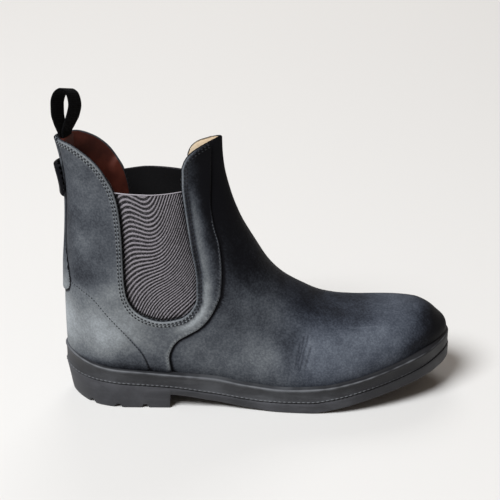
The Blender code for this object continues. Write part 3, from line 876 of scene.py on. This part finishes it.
def shaded_tone(points):
    """Leather with a painted shadow beside the back strip and along the counter's seam."""
    return (leather_tone(points) - 0.9 * (1 - ease(STRIP_EDGES.distance(points), 0.8, 1.8))
            - 0.30 * bump(COUNTER_EDGES.distance(points), 0, 0.6) * (1 - ease(points[:, 2], 42, 66)))


def quarter_tone(points):
    """The quarter's leather, paler along the collar's edge and the band beside it, with a painted highlight
    along its edge over the vamp seam.
    """
    x, _, z = points.T
    collar, vamp = COLLAR_EDGES.distance(points), VAMP_EDGES.distance(points)
    ahead = ease(x, 70, 92)
    hem = 0.12 * (1 - ease(collar, 3.2, 4.8)) * (1 - ahead)
    rim = (0.14 + 0.2 * ahead) * bump(collar, 0.3, 0.4)
    seam_highlight = 0.30 * bump(vamp, 0.9, 0.6) * (1 - ease(z, 138, 158))
    return shaded_tone(points) + hem + rim + seam_highlight


def tab_tone(points):
    """The tab's leather, darkened all over by painted shade."""
    return leather_tone(points) - 0.42


def add_overlay(name, node, loop, low_edges, base, thickness, tone, rows, rounding=0.9, drop=0.15):
    """A leather piece laid over the upper: its edges round down to what lies below.

    Thickness and tone are functions of the points.
    """
    uv, faces = fill(loop, rows)
    face, out = surface(uv), normals(uv)
    edge = Edges(*low_edges).distance(face)
    height = base - drop + (thickness(face) + drop) * rounded(edge / rounding)
    piece = make(name, face + out * height[:, None], flipped(faces), [LEATHER], smooth=70, tone=tone(face))
    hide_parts(node)


def closed(*lines):
    """One closed loop from lines that follow on each other."""
    loop = np.concatenate(lines)
    return loop[np.linalg.norm(loop - np.roll(loop, 1, axis=0), axis=1) > 1e-6]


def nearest(line, other):
    """Index of the point of a line of the chart that is nearest to another line."""
    return int(np.argmin(Edges(other).distance(surface(line))))


def add_quarter_and_counter():
    """The quarter round both gores, and the counter below it; returns their edges."""
    seams = {side: resample(seam(VAMP_SEAM, side), EDGE_STEP) for side in (-1, 1)}
    counter = resample(np.concatenate((seam(COUNTER_SEAM, -1)[::-1], seam(COUNTER_SEAM, 1))), EDGE_STEP)
    for line in seams.values():
        line[0, 1] = 0
    counter[[0, -1], 1] = 0
    half = len(COLLAR_UV) // 2
    first = nearest(COLLAR_UV[:half], seams[-1])
    last = half + nearest(COLLAR_UV[half:], seams[1])
    top = COLLAR_UV[first:last + 1]
    for side, end in ((-1, top[:1]), (1, top[-1:])):
        reach = np.linalg.norm(surface(seams[side]) - surface(end), axis=1)
        seams[side] = seams[side][:int(np.argmin(reach))]
    outer, inner = seams[-1], seams[1]

    def base_line(start, end):
        count = max(int(abs(end - start) * COLUMNS), 2)
        return np.column_stack((np.linspace(start, end, count + 1)[1:-1], np.zeros(count - 1)))

    loop = closed(outer, top, inner[::-1], base_line(inner[0, 0], counter[-1, 0]), counter[::-1],
                  base_line(counter[0, 0], outer[0, 0]))
    rows = []
    for line, sign in ((outer, -1), (inner, 1), (top, -1), (counter, 1)):
        rows += insets(line, EDGE_ROWS, sign, 3)
    beside = insets(STRIP[0], STRIP_ROWS, -1) + insets(STRIP[1], STRIP_ROWS)
    heights = [surface(line)[:, 2] for line in beside]
    rows += [line[(z > 93) & (z < 183)] for line, z in zip(beside, heights)]
    add_overlay("quarter_leather", "quarter", loop, (outer, inner, top), OVERLAY_BASE, lambda p: OVERLAY,
                quarter_tone, rows)
    loop = closed(counter, base_line(counter[-1, 0], counter[0, 0]))
    rows = insets(counter, EDGE_ROWS, -1, 2) + [line[z < 86] for line, z in zip(beside, heights)]
    add_overlay("counter_leather", "counter", loop, (counter,), COUNTER_BASE, lambda p: COUNTER_THICK,
                shaded_tone, rows)
    return outer, inner, counter, top


def strip_tone(points):
    """The strip's leather, paler at its foot."""
    return leather_tone(points) + 0.16 * (1 - ease(points[:, 2], 92, 118))


def strip_thickness(points):
    """The strip is thick at its foot and skived thin higher up."""
    return 1.8 - 1.0 * ease(points[:, 2], 95, 125)


def add_back_strip():
    """The strip over the back seam."""
    left, right, bottom, top = STRIP
    rim = np.concatenate((left[::-1], bottom, right))
    add_overlay("back_strip_leather", "back_strip", closed(rim, top), (rim,), STRIP_BASE,
                strip_thickness, strip_tone, insets(rim, (0.25, 0.6, 1.1), -1, 2), drop=0.3)


def add_back_tab():
    """Squared tab, high on the back strip."""
    z = np.linspace(TAB_LOW, TAB_HIGH, 24)
    left, right, bottom, top = back_patch(z, np.linspace(*TAB_HALF, len(z)), 18)
    loop = closed(left[::-1], bottom, right, top)
    middle = loop.mean(0)
    rows = [middle + (loop - middle) * share for share in (0.97, 0.93, 0.86, 0.7)]
    rim = np.concatenate((loop, loop[:1]))
    add_overlay("back_tab_leather", "back_tab", loop, (rim,), TAB_BASE,
                lambda p: 2.2 + 1.8 * ease(p[:, 2], 150, 170), tab_tone, rows, 0.8, 0.8)


def sole_steps():
    """Even steps from heel to toe, with two at the heel breast."""
    steps = np.linspace(0, 1, 261)
    back_x, _, front_x, _ = row_ends(np.zeros(1))
    wanted = (np.array([HEEL_BREAST_X, HEEL_BREAST_X + BREAST_STEP]) - back_x) / (front_x - back_x)
    breast = np.arccos(1 - 2 * wanted) / math.pi
    steps = steps[np.abs(steps[:, None] - breast).min(1) > 0.002]
    return np.sort(np.concatenate((steps, breast)))


STEPS = sole_steps()
RING = np.concatenate((-STEPS[::-1], STEPS[1:-1]))
RING_UV = np.stack([RING, np.zeros(len(RING))], 1)
RING_POINT, RING_OUT = surface(RING_UV)[:, :2], normals(RING_UV)[:, :2]
RING_X = RING_POINT[:, 0]
MIDSOLE_LOW = read(SOLE, "x", "parting", RING_X) + 0.15


def welt_width(x):
    """How far the midsole stands out past the featherline."""
    return WELT_ENDS + (WELT - WELT_ENDS) * ease(x, *WELT_HEEL) * (1 - ease(x, *WELT_TOE))


def toe_fill(x):
    """1 at the toe, where the sole's side stands upright."""
    return ease(x, 230, 266)


def ring(out, z, hold_breast=False):
    """A ring of the sole: the featherline moved out, at a height."""
    flat = RING_POINT + RING_OUT * np.reshape(out * np.ones(len(RING)), (-1, 1))
    if hold_breast:
        near = (RING_X > HEEL_BREAST_X - 0.5) & (RING_X < HEEL_BREAST_X + BREAST_STEP + 0.5)
        flat[near, 0] = RING_X[near]
    return np.column_stack((flat, z * np.ones(len(RING))))


def across_grid(edge, count):
    """A grid from the outer half of a ring to its inner half, row by row from heel to toe."""
    half = len(STEPS)
    outer = edge[:half][::-1]
    inner = np.concatenate((edge[half - 1:], edge[:1]))
    share = np.linspace(0, 1, count)
    return outer[:, None] * (1 - share)[None, :, None] + inner[:, None] * share[None, :, None]


def add_midsole():
    """Moulded band with a rounded lip above and a beaded edge below.

    Each row of the profile says how far out past the welt, how high and how pale a ring is; the palest
    rows, along the lip, are a painted highlight together with whitish wear.
    """
    welt, low = welt_width(RING_X), MIDSOLE_LOW
    waist = 1 - toe_fill(RING_X)
    seat = seat_at(RING_X) + HEEL_CUP * (1 - ease(RING_X, -6, 36))
    lip = seat - 1.5 * toe_fill(RING_X)
    profile = [(-2.5 - welt, seat + 0.2, 0), (0.3 - welt, seat + 0.7, 0), (1.0 - welt, seat + 0.2, 0),
               (-1.9, seat + 0.15, 0.1), (-1.1, lip + 0.35, 0.3), (-0.4, lip + 0.1, 1.3),
               (0.05, lip - 0.6, 0.3), (0.05, lip - 1.3, 0.1), (-0.25 * waist, seat - 2.0, 0),
               (-0.5 * waist, seat - 2.6, 0), (-0.55 * waist, (seat + low) / 2, 0),
               (-0.5 * waist, low + 2.0, 0), (-0.3 * waist, low + 1.5, 0.1), (-0.1 * waist, low + 0.9, 0.2),
               (-0.25, low + 0.4, 0.1), (-0.8, low + 0.1, 0), (-3.5, low, 0)]
    rings = [ring(welt + out, z) for out, z, _ in profile]
    mottle = 0.8 + 0.2 * np.sin(0.19 * RING_X) + 0.2 * np.sin(0.71 * RING_X + 1.0)
    # Paler round the waist, darker towards the toe.
    along_tone = 0.15 * bump(RING_X, 110, 40) - 0.55 * ease(RING_X, 170, 235)
    tone = np.concatenate([pale * mottle + along_tone for _, _, pale in profile])
    faces = grid_faces(len(rings), len(RING), True)
    piece = make("midsole_band", np.concatenate(rings), faces, [MIDSOLE], smooth=50, tone=tone)
    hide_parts("midsole")


def notches(x):
    """Depth of the cuts under the heel."""
    cuts = [ease(x, at - 2.6, at - 1.6) - ease(x, at + 1.4, at + 2.0) for at in NOTCHES]
    return NOTCH_DEPTH * sum(cuts)


def add_outsole():
    """Outsole with heel block, breast, arch, toe spring and a tread of bars.

    Each row of the profile says how far out past its side, how high and how pale a ring is.
    """
    x = RING_X
    on_heel = x <= HEEL_BREAST_X + 0.01
    top = read(SOLE, "x", "parting", x)
    arch = ARCH_RISE * (1 - ease(x, 110, 165))
    under = np.where(on_heel, 0.0, read(SOLE, "x", "under", x) + arch)
    cut = np.where(on_heel, notches(x), 0.0)
    draft = (HEEL_DRAFT + (DRAFT - HEEL_DRAFT) * ease(x, *HEEL_BACK)) * (1 - toe_fill(x))
    side = welt_width(x) - SOLE_STEP + TOE_FILL * toe_fill(x)
    profile = [(-3.5, top - 0.1, 0), (-0.9, top - 0.1, 0.1), (-0.2, top - 0.35, 0.3), (0.0, top - 0.9, 0.2),
               (-0.35 * draft, top * 0.65 + under * 0.35, 0),
               (-0.8 * draft, under * 0.8 + top * 0.2 + 0.3 * cut, 0),
               (-draft, under + 0.9 + 0.8 * cut, 0.05), (-draft - 0.25, under + 0.35 + cut, 0.1),
               (-draft - 0.9, under + cut, 0.1)]
    rings = [ring(side + out, z, True) for out, z, _ in profile]
    base = across_grid(rings[-1], TREAD_COLUMNS)
    run, share = base[..., 0], np.abs(np.linspace(-1, 1, TREAD_COLUMNS))
    clear = ease(1 - share, 0.10, 0.16)
    bars = ease(np.sin((run + 14 * share) * 2 * math.pi / 11.0), 0.35, 0.75)
    forefoot = ease(run, 112, 118) * (1 - ease(run, 256, 262))
    base[..., 2] += 1.5 * bars * forefoot * clear
    tread = grid_faces(len(STEPS), TREAD_COLUMNS)
    faces = grid_faces(len(rings), len(RING), True) + shifted(tread, len(rings) * len(RING))
    # Paler near the heel's breast and under the ball, darker towards the toe.
    along_tone = 0.25 * bump(x, 64, 20) + 0.12 * bump(x, 150, 40) - 0.48 * ease(x, 185, 245)
    tone = np.concatenate([pale + along_tone for _, _, pale in profile] + [np.zeros(run.size)])
    piece = make("outsole_tread", np.concatenate(rings + [base.reshape(-1, 3)]), faces, [OUTSOLE],
                 smooth=40, weld=True, tone=tone)
    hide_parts("outsole")


def add_footbed():
    """Footbed inside the upper, a little cupped."""
    seat, columns = seat_at(RING_X), FOOTBED_COLUMNS
    base, below = [across_grid(ring(-(WALL + 0.2), seat + rise), columns) for rise in (2.9, 0.4)]
    base[..., 2] += 1.6 * np.abs(np.linspace(-1, 1, columns)) ** 6
    count = len(STEPS) * columns
    faces = grid_faces(len(STEPS), columns)
    left = list(range(0, count, columns))
    rim = left + [i + columns - 1 for i in left[::-1]]
    sides = [(a, b, b + count, a + count) for a, b in zip(rim, rim[1:] + rim[:1])]
    piece = make("footbed", np.concatenate((base.reshape(-1, 3), below.reshape(-1, 3))),
                 flipped(faces) + shifted(faces, count) + sides, [BOARD], weld=True)
    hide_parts("insole")


GORE_SIDES = table("z rear front", (60, 47, 95.6), (86, 46.8, 95.2), (120, 45.6, 91.2), (141, 44.3, 88.2),
                   (156, 41.2, 86.2))
RIBS = table("z 0.0 0.1 0.2 0.35 0.5 0.65 0.8 1.0",     # slopes at shares of the way to the front
             (60, 2.8, 2.8, 2.8, 2.5, 2.0, 1.5, 1.2, 1.1),
             (70, 2.6, 2.6, 2.6, 2.1, 1.55, 1.15, 1.0, 1.1),
             (79, 2.1, 2.1, 1.9, 1.35, 0.95, 0.8, 0.9, 1.15),
             (88, 1.6, 1.5, 1.2, 0.85, 0.6, 0.7, 0.95, 1.25),
             (96, 1.1, 1.0, 0.75, 0.5, 0.45, 0.75, 1.05, 1.4),
             (105, 0.95, 0.75, 0.35, 0.2, 0.4, 0.9, 1.2, 1.45),
             (117, 0.95, 0.55, 0.0, -0.1, 0.4, 1.2, 1.5, 1.65),
             (130, 1.0, 0.5, -0.25, -0.4, 0.45, 1.45, 1.7, 1.75),
             (150, 0.95, 0.4, -0.4, -0.6, 0.8, 1.7, 1.8, 1.8))
RIB_HEIGHTS = RIBS["z"]
RIB_SHARES = np.array(list(RIBS)[1:], float)
RIB_SLOPES = np.stack(list(RIBS.values())[1:], 1)
RIB_UPRIGHT = 0.35
RIB_PITCH = table("z pitch", (-60, 4.2), (60, 4.2), (70, 3.8), (79, 3.0), (88, 2.55), (105, 2.5),
                  (117, 2.6), (130, 2.9), (150, 3.3), (240, 3.4))
GORE_WIDTH = 47.0


def rib_slope(share, z):
    """Rise of the ribs over their run at places of the elastic."""
    column = np.interp(share, RIB_SHARES, np.arange(len(RIB_SHARES)))
    row = np.interp(z, RIB_HEIGHTS, np.arange(len(RIB_HEIGHTS)))
    i = np.minimum(row.astype(int), len(RIB_HEIGHTS) - 2)
    j = np.minimum(column.astype(int), len(RIB_SHARES) - 2)
    s, t = row - i, column - j
    low = RIB_SLOPES[i, j] * (1 - t) + RIB_SLOPES[i, j + 1] * t
    high = RIB_SLOPES[i + 1, j] * (1 - t) + RIB_SLOPES[i + 1, j + 1] * t
    return low * (1 - s) + high * s


def rib_phase(x, z):
    """Which rib a place of the elastic is on, counted in ribs."""
    rear, front = read(GORE_SIDES, "z", "rear", z), read(GORE_SIDES, "z", "front", z)
    share = (x - rear) / (front - rear)
    steps = 40
    run = (RIB_UPRIGHT - share) / steps
    for _ in range(steps):
        halfway = z + rib_slope(share, z) * run * GORE_WIDTH / 2
        z = z + rib_slope(share + run / 2, halfway) * run * GORE_WIDTH
        share = share + run
    levels = np.linspace(-60, 240, 601)
    count = np.cumsum(0.5 / read(RIB_PITCH, "z", "pitch", levels))
    return np.interp(z, levels, count)


def add_gore(side, node):
    """Ribbed elastic between leather and lining, with a rolled hem on top."""
    line = collar_view(side, 400)
    along = directions(line)
    wide = line + np.stack([along[:, 1], -along[:, 0]], 1) * GORE_LAP
    low = wide[(wide[:, 1] < GORE_TOP) & (wide[:, 0] > 30)]
    share = np.linspace(1, 0, HEM_COUNT)
    arc = np.sin(share * math.pi)
    sag = -1.2 * arc if side < 0 else 1.6 * arc + 2.4 * share
    top = np.stack([np.linspace(low[-1, 0], low[0, 0], HEM_COUNT), GORE_TOP + sag], 1)
    rim = locate(np.concatenate((low, top[1:-1])), side)[::side]
    hem = locate(top, side)
    uv, faces = fill(rim, [], 0.34)
    back_uv, back_faces = fill(rim)
    face, out = surface(uv), normals(uv)
    x, _, z = face.T
    rib = rib_phase(x - (INNER_SKEW if side > 0 else 0), z)
    edge = GORE_EDGES.distance(face)
    height = -GORE_DEPTH + RIB_RISE * np.cos(2 * math.pi * rib) - 0.5 * bump(edge, 0, 2.0)
    to_front = (x - 46) / 46
    # Painted shadow on the elastic under the leather's edge, weaker at the front and the top, and a broad
    # painted shade towards the front.
    gap = (1 - ease(edge, 0.5, 2.0)) * (1 - 0.7 * ease(to_front, 0.75, 0.9))
    gap = gap * (1 - 0.6 * ease(z, 150, 154)) + 0.40 * ease(to_front, 0.66, 1.0) * ease(z, 90, 135)
    points = [face + out * height[:, None], lift(back_uv, -GORE_BACK_DEPTH)]
    roll = np.linspace(0, math.pi, 7)
    for angle in roll:
        turned = lift(hem, -2.9 + 0.62 * math.cos(angle))
        turned[:, 2] += 0.55 * math.sin(angle)
        points.append(turned)
    back, start, size = np.zeros(len(back_uv)), len(uv) + len(back_uv), len(roll) * len(hem)
    strip = grid_faces(len(roll), len(hem))
    all_faces = (flipped(faces) + shifted(back_faces, len(uv))
                 + shifted(strip if side > 0 else flipped(strip), start))
    slots = np.zeros(len(all_faces))
    slots[len(faces):len(faces) + len(back_faces)] = 1
    hem_rib, hem_tone = (0.0, 0.6) if side < 0 else (0.5, 0.0)
    piece = make(node + "_elastic", np.concatenate(points), all_faces, [ELASTIC, ELASTIC_BACK], slots,
                 rib=np.concatenate((rib, back, np.full(size, hem_rib))),
                 hem=np.concatenate((np.zeros(start), np.full(size, hem_tone))),
                 gap=np.concatenate((gap, back, np.zeros(size))))
    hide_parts(node)


def add_pull_loop():
    """Woven tape with rounded selvedges."""
    line = smooth_line(TAPE, ("x", "z", "turn"), 110)
    count, flat_y = len(line), np.zeros(len(line))
    along = directions(line[:, :2])
    turn = line[:, 2] * TAPE_TURN
    middle = np.column_stack((line[:, 0], flat_y, line[:, 1]))
    width = unit(np.column_stack((np.sin(turn), np.cos(turn), -TAPE_LEAN * line[:, 2])))
    thick = unit(np.cross(np.column_stack((along[:, 0], flat_y, along[:, 1])), width))
    half, deep = TAPE_WIDTH / 2 - SELVEDGE, TAPE_THICK / 2
    bend = np.linspace(-math.pi / 2, math.pi / 2, 5)[1:-1]
    section = np.array([(w, -deep) for w in np.linspace(-half, half, 15)]
                       + [(half + SELVEDGE * math.cos(a), deep * math.sin(a)) for a in bend])
    section = np.concatenate((section, -section))
    points = middle[:, None] + width[:, None] * section[None, :, :1] + thick[:, None] * section[None, :, 1:]
    size = len(section)
    ends = [list(range(size))[::-1], list(range((count - 1) * size, count * size))]
    faces = grid_faces(count, size, True) + ends
    piece = make("pull_loop_tape", points.reshape(-1, 3), faces, [TAPE_CLOTH],
                 along=np.repeat(length_along(middle), size), across=np.tile(section[:, 0], count))
    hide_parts("pull_loop")


def add_loop_lining():
    """Lining that runs up over the ends of the pull loop, which are sewn in behind it."""
    heights, widths = np.linspace(FLAP_LOW, FLAP_HIGH, 16), np.linspace(-FLAP_HALF, FLAP_HALF, 29)
    leg = {name: column[:-4:-1] for name, column in TAPE.items()}
    z, across = [grid.ravel() for grid in np.meshgrid(heights, widths, indexing="ij")]
    turn = np.interp(z, leg["z"], leg["turn"]) * TAPE_TURN
    x = np.interp(z, leg["z"], leg["x"]) + TAPE_THICK / 2 + 0.5 + across * np.sin(turn)
    over = np.column_stack((x, across * np.cos(turn), z))
    wall = lift(on_back(over[:, 1], z), -WALL - 0.1)
    free = (ease(z, FLAP_LOW + 0.5, FLAP_LOW + 6.0) * (1 - ease(np.abs(across), 6.6, 9.3)))[:, None]
    front = (wall + (over - wall) * free).reshape(len(heights), len(widths), 3)
    behind = (front - (0.8, 0, 0))[::-1]
    rim = (front[-1:] + behind[:1]) / 2 + (0, 0, 0.3)
    rows = np.concatenate((front, rim, behind))
    piece = make("pull_loop_lining", rows.reshape(-1, 3), grid_faces(len(rows), len(widths)), [SHADED_LINING])


def runs(line, wanted):
    """The parts of a line where wanted holds."""
    cuts = np.nonzero(np.diff(wanted.astype(int)))[0] + 1
    return [part for part, keep in zip(np.split(line, cuts), np.split(wanted, cuts)) if keep[0]]


def beads(middle, along, out, length, radius):
    """Points and faces of rounded dashes at places with a direction and an upright."""
    rings, turn = np.linspace(-1, 1, BEAD), np.linspace(0, 2 * math.pi, BEAD + 1)[:-1]
    full = np.sqrt(1.02 - rings * rings)
    shape = np.array([(r * length / 2, radius * w * math.cos(a), radius * w * math.sin(a))
                      for r, w in zip(rings, full) for a in turn])
    size = len(shape)
    ends = [list(range(BEAD))[::-1], list(range(size - BEAD, size))]
    shape_faces = grid_faces(BEAD, BEAD, True) + ends
    across = np.cross(out, along)
    points = (middle[:, None] + along[:, None] * shape[None, :, :1] + across[:, None] * shape[None, :, 1:2]
              + out[:, None] * shape[None, :, 2:])
    faces = [face for n in range(len(middle)) for face in shifted(shape_faces, size * n)]
    return points.reshape(-1, 3), faces


def stitches(lines, pitch, length, radius, sink):
    """Thread along lines of the chart, each with its height over the face."""
    middles, alongs, outs = [], [], []
    for uv, height in lines:
        uv = resample(uv, pitch)
        middle = lift(uv, height - sink)
        middles.append(middle[1:-1])
        alongs.append(directions(middle)[1:-1])
        outs.append(normals(uv)[1:-1])
    return beads(np.concatenate(middles), np.concatenate(alongs), np.concatenate(outs), length, radius)


def add_moulded_dashes():
    """Dashes moulded along the midsole's lower edge, like a welt's stitches."""
    line = ring(welt_width(RING_X) - 0.2, MIDSOLE_LOW + 0.95)
    line = np.concatenate((line, line[:1]))
    at = length_along(line)
    places = np.arange(0, at[-1], DASH_PITCH)
    middle = np.stack([np.interp(places, at, column) for column in line.T], 1)
    along = directions(middle)
    out = unit(np.cross(along, (0.0, 0.0, 1.0)))
    points, faces = beads(middle, along, out, DASH_LENGTH, DASH_RADIUS)
    piece = make("midsole_dashes", points, faces, [MIDSOLE], tone=0.9 - 1.0 * ease(points[:, 0], 190, 235))


def add_thread(name, material, *sets):
    """One piece of thread from sets of stitches."""
    points, faces, start = [], [], 0
    for some_points, some_faces in sets:
        points.append(some_points)
        faces += shifted(some_faces, start)
        start += len(some_points)
    piece = make(name, np.concatenate(points), faces, [material])


def add_stitching():
    """Rows of stitches beside the edges, and pale beads between them at the rear and low down: painted
    highlights where the light catches the stitching.
    """
    top = OVERLAY + OVERLAY_BASE
    edge_rows = insets(quarter_top, (1.4, 3.1), -1)
    dark = stitches([(line, top) for line in edge_rows], *DARK_STITCH)
    fine = stitches([(inset(counter_seam, -0.5), top)], *FINE_STITCH)
    add_thread("stitches_dark", THREAD, dark, fine)
    rows = []
    for line in (inset(outer_seam, -1.3), inset(inner_seam, 1.3)):
        rows.append((line[surface(line)[:, 2] < 136], top))
    add_thread("stitches_seam", SEAM_THREAD, stitches(rows, *SEAM_STITCH))
    rows = []
    for line in edge_rows:
        line = resample(line, STITCH)
        line = (line[1:] + line[:-1]) / 2
        x, _, z = surface(line).T
        # Painted highlights go only where the light falls: at the rear and low down.
        painted_light = (x < 50) | (z < 74)
        rows += [(part, top) for part in runs(line, painted_light) if len(part) > 4]
    add_thread("stitches_highlight", THREAD_HIGHLIGHT, stitches(rows, *HIGHLIGHT_STITCH))


def add_stage():
    """Pale floor, soft light from the upper left, and the photograph's camera."""
    mesh = bpy.data.meshes.new("floor")
    mesh.from_pydata([(-8, -8, 0), (8, -8, 0), (8, 8, 0), (-8, 8, 0)], [], [(0, 1, 2, 3)])
    s = Shader("floor")
    s.set(Base_Color=(0.715, 0.708, 0.694, 1), Roughness=0.9, Specular_IOR_Level=0.1)
    mesh.materials.append(s.material)
    floor = bpy.data.objects.new("floor", mesh)
    bpy.context.collection.objects.link(floor)

    def area(name, place, target, size, power, colour):
        light = bpy.data.lights.new(name, "AREA")
        light.shape, light.size, light.energy, light.color = "DISK", size, power, colour
        thing = bpy.data.objects.new(name, light)
        thing.location = place
        thing.rotation_euler = (Vector(target) - Vector(place)).to_track_quat("-Z", "Y").to_euler()
        bpy.context.collection.objects.link(thing)

    area("key", (-2.0, -2.0, 3.5), (-0.02, 0, 0.08), 2.4, 278, (0.975, 0.995, 1.015))
    area("far", (0.1, 2.5, 2.3), (0.1, 2.4, 0), 1.8, 32, (1.0, 0.99, 0.98))
    world = bpy.data.worlds.new("studio")
    world.use_nodes = True
    world.node_tree.nodes["Background"].inputs["Color"].default_value = (1.0, 0.82, 0.68, 1)
    world.node_tree.nodes["Background"].inputs["Strength"].default_value = 0.15
    bpy.context.scene.world = world
    bpy.context.scene.view_settings.view_transform = "Standard"

    camera = bpy.data.cameras.new("camera")
    camera.sensor_width, camera.lens = 36.0, LENS
    camera.clip_start = 0.05
    eye = bpy.data.objects.new("camera", camera)
    eye.location = CAMERA_AT
    eye.rotation_euler = (math.pi / 2 - LOOK_DOWN, 0, 0)
    bpy.context.collection.objects.link(eye)
    bpy.context.scene.camera = eye


outer_seam, inner_seam, counter_seam, quarter_top = add_quarter_and_counter()
add_upper()
add_back_strip()
add_back_tab()
add_midsole()
add_outsole()
add_footbed()
add_gore(-1, "gore_outer")
add_gore(1, "gore_inner")
add_pull_loop()
add_loop_lining()
add_moulded_dashes()
add_stitching()
add_stage()
